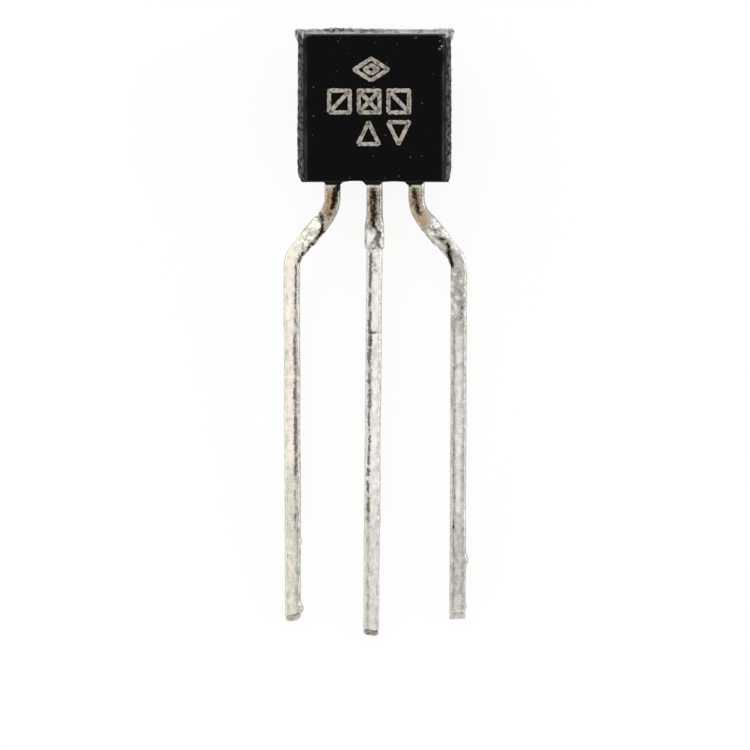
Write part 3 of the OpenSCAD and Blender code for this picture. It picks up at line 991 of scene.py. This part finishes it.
@dataclass(frozen=True)
class Route:
    """Middle line of a lead below the case, as stretches of (length in mm, degrees turned left). The
    line starts inside the case, in the direction that it leaves it."""

    stretches: tuple[tuple[float, float], ...]
    inside: float = 1.0
    steps: int = 8000

    @property
    def length(self) -> float:
        """Whole length of the route."""
        return sum(length for length, _ in self.stretches)

    def along(self, s: Array) -> tuple[Array, Array, Array]:
        """Follows the route: the line is the running sum of its small steps, each turned by the angle
        that the stretches have reached there.

        Args:
            s: distances along the route.

        Returns:
            x, z and direction in radians at each distance.
        """
        knots = np.append(0, np.cumsum([length for length, _ in self.stretches]))
        turned = np.append(0, np.cumsum([np.radians(angle) for _, angle in self.stretches]))
        fine = np.linspace(-self.inside, self.length, self.steps + 1)
        angle = np.interp((fine[1:] + fine[:-1]) / 2, knots, turned)
        step = fine[1] - fine[0]
        x = np.append(0, np.cumsum(-np.sin(angle) * step))
        z = np.append(0, np.cumsum(-np.cos(angle) * step))
        line_x = np.interp(s, fine, x) - np.interp(0, fine, x)
        line_z = np.interp(s, fine, z) - np.interp(0, fine, z)
        return line_x, line_z, np.interp(s, knots, turned)


@dataclass(frozen=True)
class Spot:
    """A local dent or bump: how far along, how far across, its half length and width, its height."""

    along: float
    across: float
    length: float
    width: float
    height: float

    def at(self, place: Array) -> Array:
        """A bell along the lead times a bell across it. Spots off the middle take in the whole edge,
        the others only the front side.

        Args:
            place: points of the straightened lead: across, from front to back, along.

        Returns:
            Height at each point.
        """
        along, across = place[..., 2] - self.along, place[..., 0] - self.across
        front = 1 if abs(self.across) > 0.18 else smooth(place[..., 1], 0.08, -0.08)
        return self.height * bell(along, self.length) * bell(across, self.width) * front


class Stain(Enum):
    """What a streak on a lead shows: stains, and painted highlights and shade."""

    SOOT_AND_SHADE = "soot_and_shade"
    COPPER = "copper"
    GRIME = "grime"
    PALE_AND_HIGHLIGHT = "pale"
    DULL_AND_SHADE = "dull"


@dataclass(frozen=True)
class Streak:
    """A line of colour down the front: what it shows, from and to along, place across at both ends,
    half width and strength."""

    stain: Stain
    start: float
    end: float
    across: tuple[float, float]
    width: float
    strength: float

    def at(self, place: Array, seed: int) -> Array:
        """A bell round a wavering line, faded at its ends. Copper shows right round the lead, and the
        other stains on its front.

        Args:
            place: points of the straightened lead: across, from front to back, along.
            seed: seed of the wavering.

        Returns:
            Strength at each point.
        """
        s = place[..., 2]
        wander = 0.01 * Ripples(0.9, seed).at(place * np.array([0.0, 0.0, 1.0]))
        line = np.interp(s, (self.start, self.end), self.across) + wander
        fade = min(0.15, 0.4 * (self.end - self.start))
        ends = smooth(s, self.start - fade, self.start + fade)
        ends = ends * smooth(s, self.end + fade, self.end - fade)
        patchy = np.clip(0.92 + 0.22 * Ripples(0.3, seed + 1).at(place), 0, 1)
        front = 1 if self.stain is Stain.COPPER else smooth(place[..., 1], 0.12, -0.08)
        return self.strength * bell(place[..., 0] - line, 1.1 * self.width) * ends * patchy * front


# Streaks of black scrapes and painted shade, of copper, of grime, of bright tin and painted highlight, and
# of dull tin and painted shade.
soot_and_shade_streak = partial(Streak, Stain.SOOT_AND_SHADE)
coppery = partial(Streak, Stain.COPPER)
grimy = partial(Streak, Stain.GRIME)
pale_and_highlight_streak = partial(Streak, Stain.PALE_AND_HIGHLIGHT)
dull_and_shade_streak = partial(Streak, Stain.DULL_AND_SHADE)


class Form(Enum):
    """How a lead runs below the case."""

    LEFT = -1
    STRAIGHT = 0
    RIGHT = 1


@dataclass
class Lead:
    """A lead stamped from strip, formed, dipped in tin and sheared off at its tip.

    Lengths are in millimetres and angles in degrees. whiteness says how much of the tin is bright,
    warmth how creamy it is, crumple_end how far the forming tool squeezed it and tip_dark how dark the
    cut is. tip_slope, tip_skew and tip_round say how the cut runs from back to front and from side to
    side. inside is how much of the lead goes on within the case. The order of the streaks sets their
    seeds, and the last three numbers say how fine the mesh is.
    """

    node: str
    form: Form
    length: float
    seed: int
    whiteness: float
    spots: tuple[Spot, ...]
    streaks: tuple[Streak, ...]
    width: float = 0.49
    thickness: float = 0.4
    edge_r: float = 0.12
    pitch: float = 1.27
    formed_pitch: float = 2.54
    inside: float = 0.35
    drop_len: float = 0.45
    form_angle: float = 40.0
    upper_bend_r: float = 1.0
    lower_bend_r: float = 0.75
    lean: float = 0.5
    stub_drop: float = 1.36
    stub_h: float = 0.62
    stub_w: float = 0.05
    tip_slope: float = 37.0
    tip_skew: float = 0.0
    tip_round: float = 0.05
    tip_dark: float = 0.6
    warmth: float = 1.0
    crumple_end: float = 2.4
    ring_gap: float = 0.021
    ring_points: int = 60
    corner_points: int = 24

    def route(self) -> Route:
        """The outer leads bend outwards and back, with a slant between that takes up what is left of
        the sideways shift; the middle one leans a little below its trimmed bar.

        Returns:
            The route from the case's bottom to the tip.
        """
        if self.form is Form.STRAIGHT:
            rest = self.length - self.stub_drop - self.stub_h
            return Route(((self.stub_drop, 0.0), (self.stub_h, self.lean), (rest, 0.0)))
        angle = np.radians(self.form_angle)
        radii = self.upper_bend_r + self.lower_bend_r
        shift = self.formed_pitch - self.pitch - radii * (1 - np.cos(angle))
        slant = shift / np.sin(angle)
        drop = self.drop_len + radii * np.sin(angle) + slant * np.cos(angle)
        turn = -self.form_angle * self.form.value
        upper = (self.upper_bend_r * angle, turn)
        lower = (self.lower_bend_r * angle, -turn)
        return Route(((self.drop_len, 0.0), upper, (slant, 0.0), lower, (self.length - drop, 0.0)))

    def section(self) -> tuple[Array, Array]:
        """Rounded rectangle of the strip: the corners' middles plus a circle, spaced evenly.

        Returns:
            Points of the section and their outward directions, (n, 2) each.
        """
        half_step = np.pi / 4 / self.corner_points
        turn = np.linspace(0, 2 * np.pi, 4 * self.corner_points, endpoint=False) + half_step
        way = np.stack([np.cos(turn), np.sin(turn)], -1)
        corner = np.array([self.width / 2 - self.edge_r, self.thickness / 2 - self.edge_r])
        points = np.sign(way) * corner + self.edge_r * way
        points, way = np.vstack([points, points[:1]]), np.vstack([way, way[:1]])
        run = np.append(0, np.cumsum(np.linalg.norm(np.diff(points, axis=0), axis=1)))
        at = np.linspace(0, run[-1], self.ring_points, endpoint=False)
        even = np.stack([np.interp(at, run, points[:, k]) for k in (0, 1)], -1)
        even_way = np.stack([np.interp(at, run, way[:, k]) for k in (0, 1)], -1)
        return even, even_way / np.linalg.norm(even_way, axis=1, keepdims=True)

    def surface(self) -> Skin:
        """Carries the section down the route. Its height over the plain strip is the uneven tin, the
        dents and burrs; the last rings shear to the cut's slope and close over the torn end.

        Returns:
            The whole lead with its tints.
        """
        points, way = self.section()
        route = self.route()
        whole = route.length
        steps = np.arange(-self.inside, whole - 0.05, self.ring_gap)
        s = np.concatenate([steps, whole - np.array([0.04, 0.02, 0.008, 0.0])])
        # The lead widens slowly towards the trimmed bar and narrows sharply below it.
        stub = self.stub_drop + np.array([-0.35, 0, self.stub_h, self.stub_h + 0.05])
        extra = self.stub_w * np.interp(s, stub, [0, 1, 1, 0])
        spread = np.clip(points[:, 0] / (self.width / 2 - self.edge_r), -1, 1)
        x = points[:, 0] + extra[:, None] * spread
        y = np.broadcast_to(points[:, 1], x.shape)
        along = np.broadcast_to(s[:, None], x.shape)
        along = along - self.sheared(x, y) * smooth(along, whole - 0.55, whole)
        place = np.stack([x, y, along], -1)
        lift = self.relief(place)
        x = x + lift * way[:, 0]
        y = y + lift * way[:, 1]
        cut = np.array([0.93, 0.82, 0.66, 0.48, 0.3, 0.12])[:, None]
        cap_x, cap_y = x[-1] * cut, y[-1] * cut
        cap_s = whole - self.sheared(cap_x, cap_y)
        torn = np.stack([cap_x, cap_y, cap_s], -1)
        cap_s = cap_s + 0.008 * Ripples(0.12, self.seed + 8).at(torn) - 0.03 * bell(cap_y - 0.1, 0.09)
        x, y = np.concatenate([x, cap_x]), np.concatenate([y, cap_y])
        along = np.concatenate([along, cap_s])
        place = np.concatenate([place, torn])
        line_x, line_z, angle = route.along(along)
        across = self.form.value * self.pitch + line_x + x * np.cos(angle)
        rings = np.stack([across, y, line_z - x * np.sin(angle)], -1)
        on_cut = np.zeros(along.shape)
        on_cut[-len(cut) + 1 :] = self.tip_dark
        return Skin(self.node + "_tinned", rings, place, self.tints(place, on_cut))

    def sheared(self, x: Array, y: Array) -> Array:
        """How much shorter the cut leaves the lead than at its back: a slope from back to front, a skew
        from side to side and a fall-off at the sides by the fourth power.

        Args:
            x: places across the section.
            y: places from its front to its back.

        Returns:
            The missing length at each place.
        """
        slope = np.tan(np.radians(self.tip_slope))
        skew = self.tip_skew * (x + self.width / 2 * np.sign(self.tip_skew))
        return slope * (self.thickness / 2 - y) + skew + self.tip_round * (2 * x / self.width) ** 4

    def relief(self, place: Array) -> Array:
        """Height over the plain strip: slow swells, drawn-out wrinkles, the crumpled stretch and a fine
        grain of tin, none of them at the exit, and the dents and bumps.

        Args:
            place: points of the straightened lead: across, from front to back, along.

        Returns:
            Height at each point.
        """
        drawn = place * np.array([1.0, 1.0, 0.4])
        swell = 0.004 * Ripples(0.8, self.seed).at(drawn)
        wrinkles = 0.002 * Ripples(0.18, self.seed + 1).at(drawn)
        wrinkles = wrinkles + 0.006 * self.crumpled(place) * Ripples(0.17, self.seed + 3).at(place)
        grain = 0.0015 * Ripples(0.07, self.seed + 2).at(place)
        spots = sum(spot.at(place) for spot in self.spots)
        return (swell + wrinkles + grain) * smooth(place[..., 2], 0.05, 0.5) + spots

    def crumpled(self, place: Array) -> Array:
        """How far a point lies on the front of the stretch that the forming tool squeezed, by smooth
        steps at both ends.

        Args:
            place: points of the straightened lead: across, from front to back, along.

        Returns:
            A value from 0 to 1 at each point.
        """
        s = place[..., 2]
        stretch = smooth(s, 1.1, 1.4) * smooth(s, self.crumple_end + 0.3, self.crumple_end - 0.3)
        return stretch * smooth(place[..., 1], 0.1, -0.1)

    def stained(self, stain: Stain, place: Array) -> Array:
        """Sum of the streaks of one kind, each wavering by a seed of its own.

        Args:
            stain: the kind.
            place: points of the straightened lead: across, from front to back, along.

        Returns:
            Strength at each point.
        """
        total = np.zeros(place.shape[:-1])
        for number, streak in enumerate(self.streaks):
            if streak.stain is stain:
                total += streak.at(place, self.seed + 10 * number)
        return total

    def tints(self, place: Array, on_cut: Array) -> dict[str, Array]:
        """Where copper, grime, blackening and bright tin show: the sums of their streaks, which take in
        painted highlights and painted shade, with painted shade along the front's edges, blackening and
        copper on the cut, blotches of bright tin and a bright band where the dip drew it up under the case.
        Warm is the same all over the lead.

        Args:
            place: points of the straightened lead: across, from front to back, along.
            on_cut: how dark the cut is at each point, and 0 off it.

        Returns:
            A value for each point by the tint's name.
        """
        across, depth, s = place[..., 0], place[..., 1], place[..., 2]
        drawn_up = bell(s - 0.13, 0.05)
        copper = np.maximum(self.stained(Stain.COPPER, place) * (1 - 0.7 * drawn_up), 0.4 * on_cut)
        # Painted shade along the front's side edges, added to the dark tint.
        edge = smooth(np.abs(across), 0.205, 0.245) * smooth(depth, 0.0, -0.1) * (on_cut == 0)
        cut = on_cut * (0.7 + 0.3 * smooth(depth, 0.0, -0.1)) + (on_cut > 0) * bell(depth + 0.17, 0.035)
        soot_and_shade = self.stained(Stain.SOOT_AND_SHADE, place) + cut + 0.42 * edge
        blotch = 0.07 + 0.2 * self.crumpled(place)
        blotch = blotch * Ripples(0.16, self.seed + 5).at(place * np.array([1.0, 1.0, 0.7]))
        # Bright tin, with painted highlights from the pale streaks and painted shade from the dull ones.
        pale = self.whiteness + blotch + self.stained(Stain.PALE_AND_HIGHLIGHT, place) - self.stained(Stain.DULL_AND_SHADE, place)
        pale = (pale + 0.35 * drawn_up) * (1 - on_cut)
        return {
            "copper": copper,
            "grime": np.clip(self.stained(Stain.GRIME, place), 0, 1),
            "soot_and_shade": np.clip(soot_and_shade, 0, 1),
            "pale": np.clip(pale, 0.16, 1),
            "warm": np.full(s.shape, self.warmth),
        }


# The room


@dataclass(frozen=True)
class Softbox:
    """A square studio lamp that looks at the object."""

    name: str
    place_mm: tuple[float, float, float]
    size_mm: float
    watts: float

    def build(self) -> None:
        """Makes the lamp and turns it to the row frame's origin."""
        data = bpy.data.lights.new(self.name, "AREA")
        data.size = self.size_mm * MM
        data.energy = self.watts
        lamp = bpy.data.objects.new(self.name, data)
        lamp.location = Vector(self.place_mm) * MM
        lamp.rotation_euler = (Vector((0, 0, 0)) - lamp.location).to_track_quat("-Z", "Y").to_euler()
        bpy.context.scene.collection.objects.link(lamp)


@dataclass
class Studio:
    """White table, pale room, soft lamps and a camera that looks straight down.

    dome holds the room's brightness by the height of the direction, from 0 at the horizon, and
    overhead is its brightness at 1, straight up. white_share says how much of the table is plain
    white to the eye, and lead_height_mm where the photograph's scale of pixels_per_mm holds.
    """

    eye_mm: tuple[float, float, float] = (0.015, -1.185, 100.0)
    pixels: int = 750
    pixels_per_mm: float = 33.07
    lead_height_mm: float = 2.228
    table_mm: float = 900.0
    table_grid: int = 21
    card: str = "#f2f2f0"
    white_share: float = 0.88
    dome: tuple[tuple[float, float], ...] = (
        (0.0, 0.3), (0.12, 0.35), (0.22, 1.6), (0.45, 1.6), (0.6, 0.45), (0.74, 0.45), (0.87, 1.05),
    )
    overhead: float = 1.02
    lamps: tuple[Softbox, ...] = (
        Softbox("key_softbox", (-30.0, 90.0, 110.0), 70.0, 0.05),
        Softbox("side_softbox", (110.0, 10.0, 60.0), 60.0, 0.02),
    )

    def white_card(self) -> bpy.types.Material:
        """White card: plain white to the eye and in reflections for the most part, and for the rest a
        matt surface that keeps the object's soft shadow.

        Returns:
            The material.
        """
        material = bpy.data.materials.new("white card")
        material.use_nodes = True
        tree = material.node_tree
        tree.nodes.clear()
        matt = add_node(tree, "BsdfDiffuse", {"Color": srgb(self.card)})
        white = add_node(tree, "Emission", {"Color": (1.0, 1.0, 1.0, 1.0), "Strength": 1.0})
        path = add_node(tree, "LightPath").node.outputs
        rays = {0: path["Is Camera Ray"], 1: path["Is Glossy Ray"]}
        rays = {0: add_node(tree, "Math", rays, operation="ADD"), 1: path["Is Transmission Ray"]}
        seen = add_node(tree, "Math", rays, operation="ADD", use_clamp=True)
        share = add_node(tree, "Math", {0: seen, 1: self.white_share}, operation="MULTIPLY")
        mixed = add_node(tree, "MixShader", {0: share, 1: matt, 2: white})
        add_node(tree, "OutputMaterial", {"Surface": mixed})
        return material

    def floor(self) -> None:
        """Table top: a square grid at z = 0."""
        half, count = self.table_mm / 2 * MM, self.table_grid
        side = np.linspace(-half, half, count)
        x, y = np.meshgrid(side, side)
        points = np.stack([x, y, np.zeros_like(x)], -1).reshape(-1, 3)
        number = np.arange(count**2).reshape(count, count)
        corners = [number[:-1, :-1], number[:-1, 1:], number[1:, 1:], number[1:, :-1]]
        mesh = bpy.data.meshes.new("table")
        mesh.from_pydata(points.tolist(), [], np.stack(corners, -1).reshape(-1, 4).tolist())
        mesh.materials.append(self.white_card())
        table = bpy.data.objects.new("table", mesh)
        bpy.context.scene.collection.objects.link(table)

    def room(self) -> None:
        """Dome round the table, by the height of its direction: a bright strip low on the walls, which
        draws the thin lit lines along rounded edges, a dim band above it and a soft patch overhead."""
        world = bpy.data.worlds.new("room")
        bpy.context.scene.world = world
        world.use_nodes = True
        tree = world.node_tree
        tree.nodes.clear()
        toward = add_node(tree, "TexCoord", out="Generated")
        dome = add_node(tree, "ValToRGB", {"Fac": add_node(tree, "SeparateXYZ", {0: toward}, "Z")})
        stops = dome.node.color_ramp.elements
        for at, level in self.dome:
            stops.new(at).color = (level, level, level, 1.0)
        stops[-1].color = (self.overhead, self.overhead, self.overhead, 1.0)
        stops.remove(stops[0])
        back = add_node(tree, "Background", {"Color": dome, "Strength": 1.0})
        add_node(tree, "OutputWorld", {"Surface": back})

    def camera(self) -> None:
        """Camera above the object; its lens gives the photograph's scale at the leads."""
        data = bpy.data.cameras.new("camera")
        reach = self.eye_mm[2] - self.lead_height_mm
        data.lens = self.pixels_per_mm * reach / self.pixels * data.sensor_width
        data.clip_start, data.clip_end = MM, 10.0
        eye = bpy.data.objects.new("camera", data)
        eye.location = Vector(self.eye_mm) * MM
        eye.rotation_euler = Euler((0.0, 0.0, 0.0))
        bpy.context.scene.collection.objects.link(eye)
        bpy.context.scene.camera = eye

    def build(self) -> None:
        """Sets the room up."""
        self.floor()
        self.room()
        for lamp in self.lamps:
            lamp.build()
        self.camera()
        bpy.context.scene.view_settings.view_transform = "Standard"
        log.info("studio: %d lamps", len(self.lamps))


# The transistor


def left_lead() -> Lead:
    """The left lead: blackened at its exit and crumpled at its upper bend, with a painted highlight down
    the left and painted shade down the right of that bend, a drawn line of grime below and a burr at its
    tip.

    Returns:
        The lead.
    """
    return Lead(
        "emitter_lead", Form.LEFT, 13.65, 100, 0.72,
        (
            Spot(1.35, -0.1, 0.12, 0.16, -0.04), Spot(1.75, 0.05, 0.16, 0.16, -0.03),
            Spot(1.22, -0.24, 0.07, 0.06, -0.05), Spot(5.0, 0.0, 0.3, 0.2, -0.012),
            Spot(1.6, -0.12, 0.08, 0.07, 0.02), Spot(1.88, -0.02, 0.07, 0.08, -0.022),
            Spot(2.15, 0.05, 0.08, 0.07, 0.018), Spot(2.4, -0.08, 0.1, 0.06, -0.015),
            Spot(11.43, 0.24, 0.08, 0.05, 0.03), Spot(13.55, 0.24, 0.13, 0.08, 0.085),
        ),
        (
            coppery(0.15, 1.1, (-0.06, -0.04), 0.14, 1.0), soot_and_shade_streak(0.1, 0.98, (0.09, 0.03), 0.075, 1.15),
            soot_and_shade_streak(0.12, 1.2, (0.0, 0.0), 0.23, 0.3), dull_and_shade_streak(0.0, 1.3, (0.0, 0.0), 0.3, 0.75),
            grimy(0.2, 1.2, (0.0, 0.0), 0.3, 0.45), soot_and_shade_streak(1.1, 1.25, (-0.22, -0.02), 0.055, 1.0),
            grimy(1.05, 1.4, (-0.2, 0.08), 0.09, 0.85), soot_and_shade_streak(0.0, 0.22, (0.22, 0.2), 0.06, 1.0),
            # The dark lines down the right of the upper bend are painted shade.
            soot_and_shade_streak(1.25, 1.55, (0.0, 0.16), 0.08, 1.0), soot_and_shade_streak(1.4, 2.9, (0.18, 0.17), 0.06, 1.05),
            # The pale line down the left of the upper bend is a painted highlight.
            pale_and_highlight_streak(1.3, 2.9, (-0.1, -0.1), 0.15, 0.5), dull_and_shade_streak(1.5, 2.3, (0.05, 0.05), 0.08, 0.4),
            grimy(2.8, 4.75, (0.125, 0.11), 0.03, 1.0), grimy(4.95, 9.5, (0.09, 0.095), 0.055, 1.0),
            soot_and_shade_streak(2.8, 4.2, (0.125, 0.115), 0.015, 0.7), grimy(9.6, 11.0, (0.09, 0.08), 0.03, 0.7),
            # The duller line down the right of the shaft is painted shade.
            dull_and_shade_streak(2.9, 13.6, (0.17, 0.16), 0.08, 0.5), grimy(10.6, 10.75, (0.06, 0.06), 0.04, 0.8),
            grimy(11.0, 13.5, (0.13, 0.13), 0.06, 0.2), grimy(1.5, 2.1, (-0.16, -0.02), 0.03, 0.6),
            # The pale line down the middle left of the shaft is a painted highlight.
            grimy(2.1, 2.6, (-0.05, 0.12), 0.035, 0.6), pale_and_highlight_streak(3.0, 9.0, (-0.05, -0.06), 0.1, 0.4),
            dull_and_shade_streak(9.0, 13.6, (0.05, 0.05), 0.3, 0.06),
        ),
        formed_pitch=2.51, stub_w=0.03, tip_skew=0.2, tip_dark=0.5, tip_round=0.09,
    )


def middle_lead() -> Lead:
    """The middle lead: straight, with a blackened exit, a squeezed stub and a line of grime down its left.

    Returns:
        The lead.
    """
    return Lead(
        "collector_lead", Form.STRAIGHT, 14.1, 200, 0.72,
        (
            Spot(1.5, -0.08, 0.2, 0.12, -0.035), Spot(1.75, 0.12, 0.2, 0.08, -0.035),
            Spot(4.6, 0.05, 0.05, 0.3, -0.02), Spot(10.4, 0.24, 0.12, 0.05, 0.02),
            Spot(1.45, 0.1, 0.07, 0.07, 0.025), Spot(1.62, -0.15, 0.07, 0.06, 0.025),
            Spot(1.87, -0.06, 0.06, 0.07, -0.03), Spot(2.12, 0.0, 0.06, 0.2, -0.02),
            Spot(7.5, 0.0, 0.4, 0.15, -0.01),
        ),
        (
            soot_and_shade_streak(0.12, 1.35, (-0.06, -0.03), 0.085, 1.0),
            coppery(0.2, 1.25, (-0.08, -0.05), 0.12, 0.8), coppery(0.3, 1.2, (0.1, 0.1), 0.08, 0.2),
            dull_and_shade_streak(0.0, 1.4, (0.08, 0.08), 0.3, 0.8), grimy(0.2, 1.2, (0.0, 0.0), 0.3, 0.4),
            soot_and_shade_streak(0.15, 1.3, (0.05, 0.05), 0.22, 0.35), dull_and_shade_streak(1.4, 2.0, (-0.02, -0.02), 0.12, 0.45),
            soot_and_shade_streak(1.3, 1.55, (-0.02, 0.14), 0.05, 0.9), grimy(1.5, 1.75, (0.18, 0.08), 0.06, 0.95),
            grimy(1.75, 2.0, (0.08, 0.17), 0.05, 0.9), grimy(1.5, 1.9, (0.1, -0.1), 0.035, 0.5),
            soot_and_shade_streak(1.97, 2.03, (0.0, 0.0), 0.25, 0.6), pale_and_highlight_streak(1.4, 1.9, (-0.2, -0.2), 0.09, 0.6),
            grimy(2.05, 4.5, (-0.1, -0.115), 0.055, 1.0), grimy(4.5, 6.9, (-0.105, -0.1), 0.065, 1.0),
            grimy(6.95, 8.6, (-0.115, -0.12), 0.04, 1.0),
            grimy(8.65, 10.4, (-0.125, -0.125), 0.055, 1.0),
            grimy(10.4, 13.6, (-0.11, -0.1), 0.025, 0.5), grimy(2.1, 2.9, (0.0, 0.05), 0.06, 0.45),
            soot_and_shade_streak(4.55, 5.2, (-0.07, -0.1), 0.03, 0.6), grimy(4.5, 4.6, (0.0, 0.0), 0.12, 0.8),
            grimy(1.45, 2.0, (0.17, 0.05), 0.07, 0.45), grimy(1.5, 2.0, (-0.1, 0.0), 0.04, 0.4),
            dull_and_shade_streak(10.2, 13.9, (-0.11, -0.1), 0.045, 0.4), dull_and_shade_streak(2.1, 13.9, (0.2, 0.19), 0.025, 0.35),
            dull_and_shade_streak(10.2, 13.9, (0.0, 0.0), 0.3, 0.06), pale_and_highlight_streak(2.2, 9.6, (0.05, 0.05), 0.09, 0.25),
        ),
        warmth=0.25, crumple_end=2.1, tip_skew=-0.12, tip_dark=0.75, tip_round=0.06,
    )


def right_lead() -> Lead:
    """The right lead: coppery at its exit, crumpled down to its lower bend, with a burr low on its
    right.

    Returns:
        The lead.
    """
    return Lead(
        "base_lead", Form.RIGHT, 13.55, 300, 0.55,
        (
            Spot(1.6, 0.1, 0.14, 0.1, -0.03), Spot(2.1, -0.05, 0.16, 0.12, -0.035),
            Spot(1.42, -0.05, 0.08, 0.07, 0.02), Spot(1.75, -0.12, 0.07, 0.06, 0.022),
            Spot(1.95, 0.1, 0.07, 0.07, -0.02), Spot(2.35, 0.05, 0.08, 0.08, 0.02),
            Spot(2.65, -0.02, 0.08, 0.09, -0.02), Spot(3.0, 0.08, 0.1, 0.07, 0.015),
            Spot(3.3, -0.05, 0.09, 0.1, -0.018), Spot(3.7, 0.03, 0.1, 0.09, 0.015),
            Spot(4.35, 0.12, 0.16, 0.06, -0.03), Spot(12.05, 0.24, 0.16, 0.06, 0.075),
            Spot(8.0, 0.0, 0.3, 0.2, -0.012), Spot(13.5, 0.24, 0.08, 0.06, 0.03),
        ),
        (
            soot_and_shade_streak(0.1, 1.0, (-0.08, -0.02), 0.06, 1.1), coppery(0.15, 1.4, (-0.02, -0.08), 0.17, 0.95),
            dull_and_shade_streak(0.0, 1.4, (0.05, 0.05), 0.3, 0.5), soot_and_shade_streak(1.5, 2.3, (0.05, 0.02), 0.09, 0.55),
            grimy(0.2, 1.1, (0.03, 0.03), 0.26, 0.4), soot_and_shade_streak(0.0, 0.14, (-0.2, -0.21), 0.05, 1.0),
            soot_and_shade_streak(0.12, 0.9, (0.0, 0.0), 0.23, 0.25), soot_and_shade_streak(1.8, 2.1, (-0.12, 0.14), 0.07, 0.6),
            dull_and_shade_streak(1.4, 3.0, (-0.02, -0.02), 0.16, 0.45), soot_and_shade_streak(2.2, 2.6, (0.04, -0.14), 0.08, 0.8),
            # The pale line down the right of the upper bend is a painted highlight.
            pale_and_highlight_streak(1.3, 3.1, (0.2, 0.2), 0.07, 0.6), soot_and_shade_streak(2.3, 3.0, (-0.15, -0.19), 0.07, 1.0),
            dull_and_shade_streak(2.2, 5.0, (-0.02, -0.02), 0.2, 0.5), grimy(2.5, 4.7, (-0.04, 0.03), 0.16, 0.45),
            grimy(1.4, 2.5, (-0.02, -0.05), 0.15, 0.32), grimy(4.7, 13.0, (0.15, 0.14), 0.04, 0.3),
            grimy(4.7, 13.3, (-0.13, -0.13), 0.04, 0.5), soot_and_shade_streak(4.1, 4.55, (0.07, 0.1), 0.05, 0.9),
            dull_and_shade_streak(4.5, 13.5, (-0.14, -0.14), 0.045, 0.5), dull_and_shade_streak(4.5, 13.5, (0.15, 0.15), 0.06, 0.35),
            soot_and_shade_streak(9.5, 11.2, (-0.13, -0.13), 0.02, 0.4), coppery(10.8, 11.05, (0.0, 0.0), 0.2, 0.3),
            soot_and_shade_streak(10.85, 11.1, (-0.14, -0.13), 0.05, 0.5), pale_and_highlight_streak(4.6, 10.5, (0.0, 0.0), 0.09, 0.2),
            dull_and_shade_streak(11.0, 13.5, (0.05, 0.05), 0.2, 0.2),
        ),
        warmth=0.3, formed_pitch=2.56, stub_w=0.03, crumple_end=4.4, tip_skew=0.05,
        tip_dark=0.3, tip_round=-0.03,
    )


@dataclass
class Transistor:
    """The whole part: case, flash, gate, marking, leads and the pieces inside."""

    case: MouldedCase
    where: Placement
    nodes: dict[str, bpy.types.Object]

    def build_case(self) -> None:
        """Builds the moulded case with what the mould left on it."""
        black = MouldedEpoxy("moulded black epoxy").build()
        piece = self.case.surface().build(self.where, black, "epoxy")
        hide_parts("case")
        torn = TornEpoxy("torn epoxy").build()
        PartingFlash(self.case).surface().build(self.where, torn, "epoxy")
        GateStump().surface(self.case.height).build(self.where, torn, "epoxy")
        marked = LaserMark("laser-scorched epoxy").build()
        marking = LaserMarking()
        for index, line in enumerate(marking.paths()):
            stroke = marking.surface(line, self.case.face_depth, f"laser_figure_{index:02d}")
            stroke.build(self.where, marked, "epoxy")

    def build_leads(self) -> None:
        """Builds the three tinned leads."""
        tin = DippedTin("hot-dipped tin over copper").build()
        for lead in (left_lead(), middle_lead(), right_lead()):
            piece = lead.surface().build(self.where, tin, "tinned_copper")
            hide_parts(lead.node)

    def dress_inside(self) -> None:
        """Gives the pieces inside the case their finishes."""
        gold = InsideMetal("drawn gold wire", "#e0b45a", 0.2).build()
        finishes = {
            "chip": PolishedSilicon("polished silicon").build(),
            "chip_solder": InsideMetal("die solder", "#8b8b8d", 0.45).build(),
            "emitter_wire": gold,
            "base_wire": gold,
        }
        for node, material in finishes.items():
            self.nodes[node].data.materials.clear()
            self.nodes[node].data.materials.append(material)
            log.info("%s: %s", node, material.name)


def main() -> None:
    """Builds the transistor and its studio."""
    logging.basicConfig(level=logging.INFO, format="%(name)s: %(message)s")
    case = MouldedCase()
    where = Placement.from_record(frame["record"], case.face_depth, case.height / 2)
    part = Transistor(case, where, frame["nodes"])
    part.build_case()
    part.build_leads()
    part.dress_inside()
    Studio().build()


if __name__ == "__main__":
    main()
